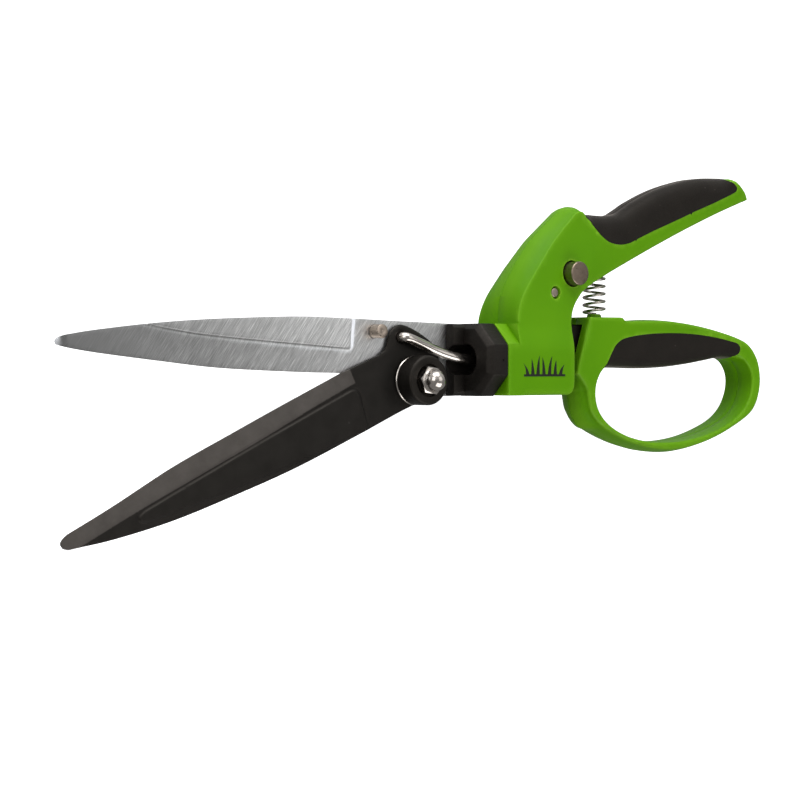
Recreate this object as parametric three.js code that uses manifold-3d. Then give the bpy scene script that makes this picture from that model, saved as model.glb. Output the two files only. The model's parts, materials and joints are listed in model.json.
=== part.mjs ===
// One-handed grass shears with a swivelling head, in millimetres.
// +X runs along the swivel axis from the blades to the handles, -Y faces the side with the
// cap nut, and +Z points up. Every piece is drawn with the swivel axis as the X axis and the
// back of the collar at X = 0; the finished group is centred on its own box at the end.
import * as THREE from 'three';
import { mergeVertices } from 'three/addons/utils/BufferGeometryUtils.js';
import Module from 'manifold-3d';

const wasm = await Module();
wasm.setup();

// ---- driving dimensions ----
const gap = 0.3;                              // clearance between neighbouring pieces
const past = 20;                              // cutting tools run this far past the mid plane
const farPast = 60;

const pivot = { x: -32.8, z: -8.0 };          // bolt that the moving blade turns on
const earHole = { x: -39.0, z: 8.8 };         // where the pull rod hooks into the moving blade
const handlePin = { x: 28.8, z: 27.1 };       // pin that the lower handle turns on
const lockAxis = { x: 38.65, z: 35.0 };       // push-through lock button
const stopPinAxis = { x: -50.6, z: 10.9 };    // stub that the closing blade runs up against

const blade = { near: 6.5, far: 8.8 };        // fixed blade, between these Y values
const moving = { near: 4.0, far: 6.2 };       // moving blade
const rivet = { x: -12.5, z: 8.8, radius: 1.6, head: 2.6 };
const stop = { head: 2.7, shank: 2.0 };

const bolt = { radius: 3.0, hexAcross: 10.0, headNear: 9.1, headFar: 12.6 };
const cap = { radius: 9.6, near: -5.4, far: 2.7, wall: 1.6, recess: 6.3 };
const washerRim = { radius: 9.8, near: 3.0, far: 3.7 };
const rod = { radius: 2.0, earY: 1.9, hook: 1.5, endRadius: 3.0 };
const bush = { neck: 3.0, flange: 5.0, half: 3.3, flangeThick: 1.5 };

const pin = { radius: 2.2, near: -10.7, far: 11.2, sinkRadius: 3.35, sinkFloor: -8.8 };
const pinClip = { radius: 4.2, near: 10.0, far: 10.7, pocket: 4.6 };
const button = { radius: 4.8, near: -15.2, shoulder: -7.2, stem: 1.9, groove: 1.5, hole: 5.3 };
const coilSpring = { axisX: 61.4, radius: 4.35, wire: 0.5, foot: 19.6, length: 24.0, turns: 7.7 };
const springSeat = { stubRadius: 3.0, stubTop: 19.2, pocketRadius: 5.6, ceiling: 44.4 };
const detent = { z: -11.9, radius: 1.5, depth: 0.9, hole: 1.7 };

const collar = { across: 28.7, front: -9.6, chamfer: 2.2, boreRadius: 6.15, boreEnd: -1.6 };
const collarPlate = { front: -14.6, near: 1.3, halfHeight: 14.2 };
const neck = { outer: 8.2, bore: 4.6, end: 12.4 };
const groove = { radius: 7.1, from: 9.0, to: 10.4 };

const body = { halfWidth: 14.35, bottom: -15.0, rear: 37.0, front: 0.3, bossEnd: 6.6 };
const cheekWall = 2.8;
const loop = { halfWidth: 8.3, crown: 1.4 };
const arm = { half: 3.0, hubHalf: 6.2, hubRadius: 6.2, lugReach: 16.2, channelHalf: 4.4 };
const prong = { inner: 3.6, outer: 6.3, tip: 3.0 };
const handleHalf = 8.4;
const gripSkin = 2.6;

const finishes = {
  green_plastic: { color: 0x5aa00c, roughness: 0.42, metalness: 0 },
  soft_grip: { color: 0x24221f, roughness: 0.75, metalness: 0 },
  black_plastic: { color: 0x1d1c1b, roughness: 0.6, metalness: 0 },
  blade_steel: { color: 0x9c9c9c, roughness: 0.35, metalness: 1 },
  coated_blade: { color: 0x22211f, roughness: 0.5, metalness: 0.2 },
  bright_plate: { color: 0xcfc8c0, roughness: 0.15, metalness: 1 },
  pin_steel: { color: 0xa39b93, roughness: 0.3, metalness: 1 },
  spring_steel: { color: 0xb5aca2, roughness: 0.25, metalness: 1 },
};

// ---- solids ----
function solid(geometry) {
  const bare = geometry.clone();
  bare.deleteAttribute('normal');
  bare.deleteAttribute('uv');
  const merged = mergeVertices(bare, 1e-4);
  return new wasm.Manifold(new wasm.Mesh({
    numProp: 3,
    vertProperties: new Float32Array(merged.attributes.position.array),
    triVerts: new Uint32Array(merged.index.array),
  }));
}

function geometryOf(manifold) {
  const mesh = manifold.getMesh();
  const geometry = new THREE.BufferGeometry();
  geometry.setAttribute('position', new THREE.BufferAttribute(mesh.vertProperties, 3));
  geometry.setIndex(new THREE.BufferAttribute(mesh.triVerts, 1));
  return geometry;
}

function shapeOf(points) {
  return new THREE.Shape(points.map(([a, b]) => new THREE.Vector2(a, b)));
}

const toX = new THREE.Matrix4().makeBasis(
  new THREE.Vector3(0, 1, 0), new THREE.Vector3(0, 0, 1), new THREE.Vector3(1, 0, 0));

// A side outline in X and Z, given thickness along Y from near to far, with bevelled edges.
function sidePlate(shape, near, far, bevel = 0, crown = bevel, curveSegments = 4) {
  const geometry = new THREE.ExtrudeGeometry(shape, {
    depth: far - near - 2 * bevel, curveSegments,
    bevelEnabled: bevel > 0, bevelThickness: bevel, bevelSize: crown, bevelSegments: 2,
  });
  geometry.rotateX(Math.PI / 2);
  geometry.translate(0, far - bevel, 0);
  return solid(geometry);
}

// An end outline in Y and Z, given length along X.
function endPrism(shape, from, to) {
  const geometry = new THREE.ExtrudeGeometry(shape, { depth: to - from, bevelEnabled: false });
  geometry.applyMatrix4(toX);
  geometry.translate(from, 0, 0);
  return solid(geometry);
}

// A plan outline in X and Y, given height along Z.
function planPrism(shape, from, to, curveSegments = 4) {
  const options = { depth: to - from, bevelEnabled: false, curveSegments };
  const geometry = new THREE.ExtrudeGeometry(shape, options);
  geometry.translate(0, 0, from);
  return solid(geometry);
}

// A turned piece: profile points are [radius, distance along the axis].
function turned(profile, axis, centre, segments = 32) {
  const points = profile.map(([r, h]) => new THREE.Vector2(r, h));
  const geometry = new THREE.LatheGeometry(points, segments);
  if (axis === 'x') geometry.rotateZ(-Math.PI / 2);
  if (axis === 'z') geometry.rotateX(Math.PI / 2);
  geometry.translate(centre.x ?? 0, centre.y ?? 0, centre.z ?? 0);
  return solid(geometry);
}

function disc(radius, from, to, axis, centre, segments = 32, edge = 0) {
  const rim = edge > 0
    ? [[radius - edge, from], [radius, from + edge], [radius, to - edge], [radius - edge, to]]
    : [[radius, from], [radius, to]];
  return turned([[0, from], ...rim, [0, to]], axis, centre, segments);
}

function washer(inner, outer, from, to, axis, centre, segments = 32) {
  const profile = [[inner, from], [outer, from], [outer, to], [inner, to], [inner, from]];
  return turned(profile, axis, centre, segments);
}

function tube(path, radius, sides, steps) {
  const ring = [];
  for (let i = 0; i < sides; i += 1) {
    const angle = (2 * Math.PI * i) / sides;
    ring.push([radius * Math.cos(angle), radius * Math.sin(angle)]);
  }
  const options = { steps, extrudePath: path, bevelEnabled: false };
  return solid(new THREE.ExtrudeGeometry(shapeOf(ring), options));
}

class Helix extends THREE.Curve {
  constructor(radius, length, turns, place) {
    super();
    Object.assign(this, { radius, length, turns, place });
  }

  getPoint(t, target = new THREE.Vector3()) {
    const angle = 2 * Math.PI * this.turns * t;
    const across = this.radius * Math.cos(angle);
    const along = this.length * t;
    return target.copy(this.place(across, this.radius * Math.sin(angle), along));
  }
}

const vectors = (points) => points.map(([a, b]) => new THREE.Vector2(a, b));

function onCircle(centre, radius, degrees) {
  const angle = THREE.MathUtils.degToRad(degrees);
  return [centre.x + radius * Math.cos(angle), centre.z + radius * Math.sin(angle)];
}

// ---- upper handle: body and top handle in one moulding ----
function upperOutline() {
  const shape = new THREE.Shape();
  shape.moveTo(body.front, body.bottom);
  shape.lineTo(body.rear - 5, body.bottom);
  shape.quadraticCurveTo(body.rear, body.bottom, body.rear, body.bottom + 7);
  shape.lineTo(body.rear, 15.3);
  shape.splineThru(vectors([[38.3, 21.3], [42.3, 26.6], [49.0, 30.8], [59.0, 35.0],
    [80.5, 44.1], [111.2, 56.8], [147.0, 70.1]]));
  shape.lineTo(149.0, 70.9);
  shape.quadraticCurveTo(146.8, 76.9, 139.6, 79.8);
  shape.splineThru(vectors([[121.9, 79.2], [103.0, 75.9], [84.6, 70.2], [72.6, 64.6],
    [62.5, 60.2], [55.5, 59.9], [50.6, 61.4]]));
  shape.quadraticCurveTo(46.2, 63.2, 42.6, 60.4);
  shape.splineThru(vectors([[34.0, 53.6], [24.2, 45.0], [16.0, 35.6], [10.6, 27.0],
    [8.2, 20.5], [7.4, 14.35]]));
  shape.lineTo(body.front, 14.35);
  return shape;
}

// The cheeks are flat and full width up to the collar, then draw in towards the crown.
function cheekProfile(inset) {
  const rise = [[body.halfWidth, -farPast], [body.halfWidth, 5.9], [12.3, 14.35], [11.6, 22.0],
    [10.8, 32.0], [9.8, 42.0], [8.8, 52.0], [8.4, 62.0], [7.8, 90.0]];
  const right = rise.map(([w, z]) => [w - inset, z]);
  const left = right.map(([w, z]) => [-w, z]).reverse();
  return shapeOf([...right, ...left]);
}

function planProfile() {
  const side = [[-1, body.halfWidth], [38, body.halfWidth], [50, 10.4], [62, 8.6], [120, handleHalf],
    [143, 8.2], [149, 7.6], [152, 7.2]];
  return shapeOf([...side.map(([x, w]) => [x, -w]), ...side.map(([x, w]) => [x, w]).reverse()]);
}

// Behind the collar the body's two upper corners follow the collar's octagon.
function bossCorner(side) {
  const flat = 5.9;
  const wide = body.halfWidth + 0.05;
  const corner = shapeOf([[side * flat, wide], [side * wide, flat], [side * past, flat],
    [side * past, past], [side * flat, past]]);
  return endPrism(corner, -1, body.bossEnd);
}

function upperSolid() {
  let whole = sidePlate(upperOutline(), -body.halfWidth, body.halfWidth);
  whole = whole.intersect(endPrism(cheekProfile(0), -1, 160));
  whole = whole.intersect(planPrism(planProfile(), -past, 90));
  return whole.subtract(bossCorner(1)).subtract(bossCorner(-1));
}

function upperCavity() {
  const room = shapeOf([[7.5, -12], [60, -12], [60, 19.5], [39.4, 22.6], [38.6, 25.2],
    [41.2, 29.2], [43.6, 33.4], [42.4, 38.6], [38.0, 43.0], [32.0, 44.8], [27.6, 44.4],
    [24.6, 41.0], [18.8, 34.4], [14.6, 27.4], [11.8, 20.8], [11.0, 14.0], [7.5, 12.5]]);
  const cut = sidePlate(room, -body.halfWidth, body.halfWidth);
  return cut.intersect(endPrism(cheekProfile(cheekWall), 0, 70));
}

// The grips' outlines can be grown all round, for the gap between a grip and its pocket.
function gripOutline(grow) {
  const shape = new THREE.Shape();
  shape.moveTo(47.6 - grow, 66);
  shape.lineTo(47.6 - grow, 60.2);
  shape.splineThru(vectors([[51.2 - grow, 55.6 - grow], [55.8 - grow, 51.4 - grow],
    [61.0, 48.9 - grow], [67.2, 47.9 - grow], [74.0, 48.9 - grow]]));
  shape.lineTo(138.5, 72.9 - grow);
  shape.quadraticCurveTo(142.6 + grow, 74.8 - grow, 140.6 + grow, 77.0);
  shape.quadraticCurveTo(138.0 + grow, 79.2, 133.0 + grow, 84.0);
  shape.lineTo(60, 84);
  return shape;
}

// Narrower solid core that the soft grip is moulded around.
function gripCore(shrink) {
  const half = handleHalf - gripSkin - shrink;
  const core = shapeOf([[44, 50], [54, 57.2 - shrink], [61.5, 57.6 - shrink],
    [72, 61.7 - shrink], [84, 67.2 - shrink], [103, 73.0 - shrink], [122, 76.3 - shrink],
    [137, 77.4 - shrink], [143, 75], [143, 70], [60, 36], [48, 34]]);
  return sidePlate(core, -half, half);
}

function upperGrip() {
  const region = sidePlate(gripOutline(0), -past, past);
  return upperSolid().intersect(region).subtract(gripCore(0));
}

function upperHandle() {
  const region = sidePlate(gripOutline(gap), -past, past);
  let handle = upperSolid();
  handle = handle.subtract(region).add(gripCore(gap).intersect(handle));
  handle = handle.subtract(upperCavity());
  handle = handle.subtract(disc(neck.outer + gap, -1, 9, 'x', {}));
  handle = handle.subtract(disc(detent.hole, -1, 6.4, 'x', { z: detent.z }, 16));
  handle = handle.subtract(disc(button.hole, -past, 0, 'y', lockAxis));
  handle = handle.subtract(disc(button.stem + gap, 0, past, 'y', lockAxis, 20));
  handle = handle.subtract(disc(pin.radius + gap, -past, past, 'y', handlePin, 24));
  handle = handle.subtract(disc(pin.sinkRadius, -past, pin.sinkFloor, 'y', handlePin, 24));
  handle = handle.subtract(disc(pinClip.pocket, 9.6, past, 'y', handlePin, 24));
  const seat = { x: coilSpring.axisX };
  return handle.subtract(disc(springSeat.pocketRadius, 20, springSeat.ceiling, 'z', seat, 24));
}

// ---- lower handle: trigger loop, spring seat, lever arm and fork in one moulding ----
function loopOutline() {
  const shape = new THREE.Shape();
  shape.moveTo(43.9, -6.4);
  shape.lineTo(51.2, 17.2);
  shape.lineTo(69.6, 17.6);
  shape.lineTo(72.0, 15.9);
  shape.splineThru(vectors([[85.0, 16.4], [99.0, 16.3], [113.4, 15.1], [128.0, 12.9],
    [143.0, 9.3], [150.4, 5.8], [155.4, 0.0], [157.0, -6.8], [156.2, -13.4], [152.8, -19.6],
    [146.8, -24.2], [133.0, -30.4], [118.3, -34.9], [103.9, -37.4], [92.5, -37.8],
    [83.2, -36.8], [72.2, -33.6], [62.4, -28.8], [56.2, -24.2], [52.7, -19.6],
    [51.2, -14.6], [48.6, -10.2]]));
  return shape;
}

function loopHole() {
  const shape = new THREE.Shape();
  shape.moveTo(60.6, -2.2);
  shape.splineThru(vectors([[57.0, -6.4], [55.0, -12.0], [55.6, -18.0], [58.4, -23.8],
    [64.6, -28.6], [74.0, -32.0], [85.0, -33.7], [94.6, -33.9], [108.7, -32.6], [123.0, -29.3],
    [138.0, -24.4], [146.6, -19.6], [150.9, -12.8], [151.2, -6.2], [147.8, -1.6], [141.6, 1.0],
    [133.0, 1.5], [124.0, 0.5], [111.0, -1.5], [98.0, -2.8], [84.0, -3.2], [72.0, -2.7]]));
  return shape;
}

function lowerGripOutline(grow) {
  const shape = new THREE.Shape();
  shape.moveTo(58.8 - grow, -5);
  shape.splineThru(vectors([[61.2 - grow, -1.4], [63.9 - grow, 3.2], [67.0, 6.8 + grow],
    [72.4, 9.3 + grow], [85.0, 11.0 + grow], [99.0, 11.6 + grow], [113.3, 11.2 + grow],
    [128.0, 9.6 + grow], [139.6, 7.4 + grow]]));
  shape.quadraticCurveTo(144.4 + grow, 5.8 + grow, 143.2 + grow, 3.4);
  shape.quadraticCurveTo(142.0 + grow, 1.6, 138.8 + grow, 0.6);
  shape.lineTo(136, -5);
  return shape;
}

function lowerGripCore(shrink) {
  const half = loop.halfWidth - gripSkin - shrink;
  const core = shapeOf([[62, 14], [66, 3 + shrink], [72, 0.8 + shrink], [85, 0.3 + shrink],
    [98, 0.7 + shrink], [112, 2.0 + shrink], [124, 3.8 + shrink], [134, 4.6 + shrink],
    [138, 5.6], [146, 6.2], [146, 9], [120, 14]]);
  return sidePlate(core, -half, half);
}

function loopSolid() {
  const bar = sidePlate(loopOutline(), -loop.halfWidth, loop.halfWidth, 2.4, loop.crown, 2);
  return bar.subtract(sidePlate(loopHole(), -past, past, 0, 0, 2));
}

function lowerGrip() {
  const region = sidePlate(lowerGripOutline(0), -past, past);
  return loopSolid().intersect(region).subtract(lowerGripCore(0));
}

// The loop's block is open towards the body, around the lever arm.
function channelHollow() {
  const room = shapeOf([[30, -6.6], [45.5, -5.6], [53.4, 1.0], [57.5, 8.0], [58.5, 14.4],
    [30, 14.4]]);
  return sidePlate(room, -arm.channelHalf, arm.channelHalf);
}

// The lug hangs over the lock button; the angles are read at the pin, handles open.
function lockLug() {
  const points = [onCircle(handlePin, 0.5, 65)];
  for (let degrees = 50; degrees <= 80; degrees += 6) {
    points.push(onCircle(handlePin, arm.lugReach, degrees));
  }
  return sidePlate(shapeOf(points), -arm.half, arm.half);
}

function leverArm() {
  const web = shapeOf([[26.2, 27], [25.6, 9], [27.2, 7.4], [30.4, 7.4], [36, 3.4], [60, 3.4],
    [60, 15.5], [52, 15.5], [51, 14.2], [42, 14.2], [35.4, 17.6], [33.2, 27]]);
  let lever = sidePlate(web, -arm.half, arm.half);
  lever = lever.add(disc(arm.hubRadius, -arm.hubHalf, arm.hubHalf, 'y', handlePin));
  lever = lever.add(lockLug());
  const limb = shapeOf([[27.2, 0], [30.4, 0], [30.4, 7.4], [31.8, 12], [26.0, 12], [27.2, 7.4]]);
  let fork = sidePlate(limb, -prong.outer, prong.outer);
  fork = fork.add(disc(prong.tip, -prong.outer, prong.outer, 'y', { x: handlePin.x }, 24));
  const slot = shapeOf([[-prong.inner, -10], [prong.inner, -10], [prong.inner, 3.4],
    [2.0, 5.4], [-2.0, 5.4], [-prong.inner, 3.4]]);
  fork = fork.subtract(endPrism(slot, 20, 36));
  return lever.add(fork).subtract(disc(pin.radius + gap, -past, past, 'y', handlePin, 24));
}

function lowerHandle() {
  const region = sidePlate(lowerGripOutline(gap), -past, past);
  let handle = loopSolid();
  handle = handle.subtract(region).add(lowerGripCore(gap).intersect(handle));
  handle = handle.subtract(channelHollow()).add(leverArm());
  const seat = { x: coilSpring.axisX };
  return handle.add(disc(springSeat.stubRadius, 16.5, springSeat.stubTop, 'z', seat, 20, 0.5));
}

// ---- swivelling head ----
function octagon(across) {
  const half = across / 2;
  const short = half * Math.tan(Math.PI / 8);
  return shapeOf([[half, -short], [half, short], [short, half], [-short, half], [-half, short],
    [-half, -short], [-short, -half], [short, -half]]);
}

function headCollar() {
  const full = endPrism(octagon(collar.across), collar.front + collar.chamfer, 0);
  const nose = new THREE.ExtrudeGeometry(octagon(collar.across - 2 * collar.chamfer), {
    depth: 1, bevelEnabled: true, bevelThickness: collar.chamfer, bevelSize: collar.chamfer,
    bevelSegments: 1,
  });
  nose.applyMatrix4(toX);
  nose.translate(collar.front + collar.chamfer, 0, 0);
  let head = solid(nose).intersect(endPrism(octagon(60), collar.front, -4)).add(full);
  const plateTop = collarPlate.halfHeight;
  const web = shapeOf([[collarPlate.near, -plateTop + 1.4], [collarPlate.near + 1.4, -plateTop],
    [blade.near - gap, -plateTop], [blade.near - gap, plateTop],
    [collarPlate.near + 1.4, plateTop], [collarPlate.near, plateTop - 1.4]]);
  head = head.add(endPrism(web, collarPlate.front, collar.front + 3));
  head = head.add(disc(neck.outer, -1, neck.end, 'x', {}));
  const tang = shapeOf([[-20, -11.3], [-2.1, -11.3], [-2.1, 11.3], [-20, 11.3]]);
  head = head.subtract(sidePlate(tang, blade.near - gap, blade.far + gap));
  head = head.subtract(disc(collar.boreRadius, -past, collar.boreEnd, 'x', {}));
  head = head.subtract(disc(neck.bore, -past, past, 'x', {}));
  head = head.subtract(washer(groove.radius, 12, groove.from, groove.to, 'x', {}));
  const track = Math.abs(detent.z);
  head = head.subtract(washer(track - 1.3, track + 1.3, -detent.depth, 1, 'x', {}, 48));
  for (const side of [-1, 1]) {
    const hole = disc(rivet.radius + gap, 2.6, past, 'y', rivetAxis(side), 20);
    head = head.subtract(hole.intersect(sidePlate(webOutline(), 0, blade.near)));
  }
  return head;
}

// The part of the collar's plate that stands in front of its block.
function webOutline() {
  const rear = collar.front + 0.2;
  return shapeOf([[collarPlate.front, -past], [rear, -past], [rear, past],
    [collarPlate.front, past]]);
}

function rivetAxis(side) {
  return { x: rivet.x, z: side * rivet.z };
}

function fixedBlade() {
  const shape = new THREE.Shape();
  shape.moveTo(-2.4, -11.0);
  shape.lineTo(-2.4, 11.0);
  shape.lineTo(-9.9, 11.0);
  shape.lineTo(-9.9, 14.3);
  shape.lineTo(-37.8, 15.0);
  shape.splineThru(vectors([[-67.2, 15.9], [-88.3, 16.1], [-121.9, 14.8], [-147.4, 13.0],
    [-171.8, 10.3], [-184.6, 8.4]]));
  shape.quadraticCurveTo(-190.6, 7.0, -188.6, 4.9);
  shape.splineThru(vectors([[-183.7, 3.8], [-171.9, 2.1], [-147.5, -0.6], [-121.9, -3.1],
    [-88.3, -4.6], [-67.2, -5.1]]));
  shape.splineThru(vectors([[-54.0, -9.0], [-44.0, -15.5], [-34.0, -18.2], [-24.0, -14.6]]));
  shape.lineTo(-9.9, -14.3);
  shape.lineTo(-9.9, -11.0);
  let plate = sidePlate(shape, blade.near, blade.far);
  plate = plate.subtract(disc(bolt.radius + gap, 0, past, 'y', pivot));
  plate = plate.subtract(disc(stop.shank + gap, 0, past, 'y', stopPinAxis, 20));
  for (const side of [-1, 1]) {
    plate = plate.subtract(disc(rivet.radius + gap, 0, past, 'y', rivetAxis(side), 20));
  }
  return plate;
}

function stopPin() {
  const profile = [[0, 1.2], [stop.head - 0.4, 1.2], [stop.head, 1.6],
    [stop.head, blade.near - gap], [stop.shank, blade.near - gap],
    [stop.shank, blade.far + gap], [2.9, blade.far + gap], [2.6, 10.0], [0, 10.0]];
  return turned(profile, 'y', stopPinAxis, 24);
}

function bladeRivet(side) {
  const { radius, head } = rivet;
  const profile = [[0, 2.9], [radius, 2.9], [radius, blade.far + gap],
    [head, blade.far + gap], [head - 0.3, 9.9], [head / 2, 10.4], [0, 10.4]];
  return turned(profile, 'y', rivetAxis(side), 20);
}

function movingBlade() {
  const shape = new THREE.Shape();
  shape.moveTo(-187.6, -64.2);
  shape.quadraticCurveTo(-189.2, -62.6, -185.3, -60.0);
  shape.splineThru(vectors([[-167.5, -50.6], [-142.9, -37.8], [-117.1, -26.3], [-90.2, -14.6],
    [-62.0, -2.8]]));
  shape.lineTo(-49.6, 1.7);
  shape.splineThru(vectors([[-46.2, 4.6], [-44.6, 9.6], [-42.3, 12.4], [-38.7, 13.6],
    [-33.6, 12.4], [-26.9, 9.3], [-21.7, 5.6], [-19.3, 0.6]]));
  shape.splineThru(vectors([[-19.3, -6.0], [-21.8, -12.4], [-26.6, -16.6], [-32.8, -17.9]]));
  shape.splineThru(vectors([[-39.4, -20.3], [-49.3, -24.3], [-62.0, -29.5], [-90.2, -40.3],
    [-117.2, -49.2], [-142.9, -57.0], [-167.6, -62.4], [-185.2, -65.3]]));
  shape.quadraticCurveTo(-187.0, -65.4, -187.6, -64.2);
  let plate = sidePlate(shape, moving.near, moving.far);
  plate = plate.subtract(disc(bolt.radius + gap, 0, past, 'y', pivot));
  return plate.subtract(disc(rod.hook + gap, 0, past, 'y', earHole, 20));
}

// ---- blade bolt stack, from the back of the fixed blade to the cap nut ----
function hexPrism(across, near, far) {
  const points = [];
  for (let i = 0; i < 6; i += 1) points.push(onCircle(pivot, across / Math.sqrt(3), 60 * i));
  return sidePlate(shapeOf(points), near, far);
}

function pivotBolt() {
  const shank = disc(bolt.radius, -9.4, 9.4, 'y', pivot);
  return shank.add(hexPrism(bolt.hexAcross, bolt.headNear, bolt.headFar));
}

function pivotCap() {
  const inner = bolt.radius + gap;
  const seat = cap.near + 1.4;
  const roof = cap.near + 3.2;
  const profile = [[inner, seat], [cap.recess, seat], [cap.recess, cap.near],
    [cap.radius - 0.8, cap.near], [cap.radius, cap.near + 0.8], [cap.radius, cap.far],
    [cap.radius - cap.wall, cap.far], [cap.radius - cap.wall, roof],
    [inner, roof], [inner, seat]];
  return turned(profile, 'y', pivot, 40);
}

function discSpring() {
  const inner = bolt.radius + gap;
  const profile = [[inner, -1.6], [inner + 0.4, -1.9], [7.6, 1.8], [7.6, 2.6], [6.6, 2.6],
    [inner, -0.6], [inner, -1.6]];
  return turned(profile, 'y', pivot, 32);
}

function pivotWasher() {
  return washer(bolt.radius + gap, washerRim.radius, washerRim.near, washerRim.far, 'y', pivot, 40);
}

function capNut() {
  const near = -7.6;
  const hex = hexPrism(bolt.hexAcross, near, -4.6);
  const dome = [[0, -13.0], [1.6, -12.7], [3.0, -11.8], [3.9, -10.4], [4.2, -8.8], [4.5, near],
    [4.5, near + 0.5], [0, near + 0.5]];
  const thread = disc(bolt.radius + gap, -9.7, 0, 'y', pivot);
  return turned(dome, 'y', pivot, 32).add(hex).subtract(thread);
}

// ---- pull rod ----
function pullRod() {
  const path = new THREE.CatmullRomCurve3([
    [earHole.x, 6.1, earHole.z], [earHole.x, 4.0, earHole.z], [-38.2, 2.2, 8.6],
    [-35.2, rod.earY, 7.7], [-31.0, rod.earY, 6.2], [-24.6, 1.7, 3.9], [-18.6, 1.1, 2.0],
    [-12.5, 0.4, 0.7], [-6.0, 0, 0.1], [2.0, 0, 0], [18.0, 0, 0], [34.4, 0, 0],
  ].map(([x, y, z]) => new THREE.Vector3(x, y, z)), false, 'centripetal');
  const wire = tube(path, rod.radius, 10, 44);
  const hookZone = disc(4.0, 3.9, 12, 'y', earHole, 20);
  const hook = disc(rod.hook, 3.4, moving.far, 'y', earHole, 20);
  const swagedEnd = disc(rod.endRadius, 34.1, 35.5, 'x', {}, 20, 0.4);
  return wire.subtract(hookZone).add(hook).add(swagedEnd);
}

function rodBush() {
  const end = bush.half + bush.flangeThick;
  const profile = [[rod.radius + gap, -end], [bush.flange, -end], [bush.flange, -bush.half],
    [bush.neck, -bush.half], [bush.neck, bush.half], [bush.flange, bush.half],
    [bush.flange, end], [rod.radius + gap, end], [rod.radius + gap, -end]];
  return turned(profile, 'x', { x: handlePin.x }, 28);
}

// ---- pins, springs and small parts in the body ----
function pivotPin() {
  return disc(pin.radius, pin.near, pin.far, 'y', handlePin, 28, 0.3);
}

function pivotPinClip() {
  return washer(pin.radius + gap, pinClip.radius, pinClip.near, pinClip.far, 'y', handlePin, 24);
}

function lockButton() {
  const { radius, near, shoulder, stem, groove: waist } = button;
  const profile = [[0, near], [radius - 0.3, near], [radius, near + 0.3], [radius, shoulder],
    [stem, shoulder], [stem, 3.2], [waist, 3.2], [waist, 3.9], [stem, 3.9], [stem, 9.9],
    [stem - 0.3, 10.2], [0, 10.2]];
  return turned(profile, 'y', lockAxis, 36);
}

function lockClip() {
  return washer(button.groove + gap, 3.2, 3.3, 3.8, 'y', lockAxis, 24);
}

function swivelWasher() {
  return washer(neck.outer + gap, 10.8, 7.8, 8.7, 'x', {});
}

function retainingRing() {
  return washer(groove.radius + gap, 10.4, groove.from + gap, groove.to - gap, 'x', {});
}

function coil(wire, radius, length, turns, place, sides, stepsPerTurn) {
  const path = new Helix(radius, length, turns, place);
  return tube(path, wire, sides, Math.round(turns * stepsPerTurn));
}

function returnSpring() {
  const { axisX, radius, wire, foot, length, turns } = coilSpring;
  const place = (a, b, along) => new THREE.Vector3(axisX + a, b, foot + along);
  return coil(wire, radius, length, turns, place, 6, 14);
}

function detentSpring() {
  const place = (a, b, along) => new THREE.Vector3(2.9 + along, a, detent.z + b);
  return coil(0.22, 1.1, 3.1, 5, place, 5, 9);
}

function detentBall() {
  const ball = new THREE.SphereGeometry(detent.radius, 16, 10);
  ball.translate(1.05, 0, detent.z);
  return solid(ball);
}

// ---- assembly ----
const pieces = [
  ['upper_handle', upperHandle, 'green_plastic'],
  ['upper_grip', upperGrip, 'soft_grip'],
  ['handle_pivot_pin', pivotPin, 'pin_steel'],
  ['pivot_pin_clip', pivotPinClip, 'spring_steel'],
  ['return_spring', returnSpring, 'spring_steel'],
  ['detent_ball', detentBall, 'pin_steel'],
  ['detent_spring', detentSpring, 'spring_steel'],
  ['lock_button', lockButton, 'pin_steel'],
  ['lock_button_clip', lockClip, 'spring_steel'],
  ['lower_handle', lowerHandle, 'green_plastic'],
  ['lower_grip', lowerGrip, 'soft_grip'],
  ['head_collar', headCollar, 'black_plastic'],
  ['swivel_washer', swivelWasher, 'bright_plate'],
  ['neck_retaining_ring', retainingRing, 'spring_steel'],
  ['fixed_blade', fixedBlade, 'blade_steel'],
  ['stop_pin', stopPin, 'pin_steel'],
  ['blade_rivet_upper', () => bladeRivet(1), 'pin_steel'],
  ['blade_rivet_lower', () => bladeRivet(-1), 'pin_steel'],
  ['moving_blade', movingBlade, 'coated_blade'],
  ['pivot_bolt', pivotBolt, 'bright_plate'],
  ['pivot_washer', pivotWasher, 'bright_plate'],
  ['disc_spring', discSpring, 'spring_steel'],
  ['pivot_cap', pivotCap, 'black_plastic'],
  ['cap_nut', capNut, 'bright_plate'],
  ['pull_rod', pullRod, 'bright_plate'],
  ['rod_swivel_bush', rodBush, 'black_plastic'],
];

const shears = new THREE.Group();
for (const [name, make, finish] of pieces) {
  const material = new THREE.MeshStandardMaterial(finishes[finish]);
  const mesh = new THREE.Mesh(geometryOf(make()), material);
  mesh.name = name;
  shears.add(mesh);
}
const centre = new THREE.Box3().setFromObject(shears).getCenter(new THREE.Vector3());
shears.position.copy(centre.negate());
shears.updateMatrixWorld(true);

export default shears;
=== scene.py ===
"""One-handed swivel-head grass shears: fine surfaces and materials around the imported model.

Every piece is drawn in millimetres in the swivel frame: X along the head's swivel axis towards
the handles, Z up, and the back of the collar at X = 0. make_piece() moves it to the row frame.
"""
import json
import math

import bpy
import numpy as np
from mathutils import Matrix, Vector, geometry


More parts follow.
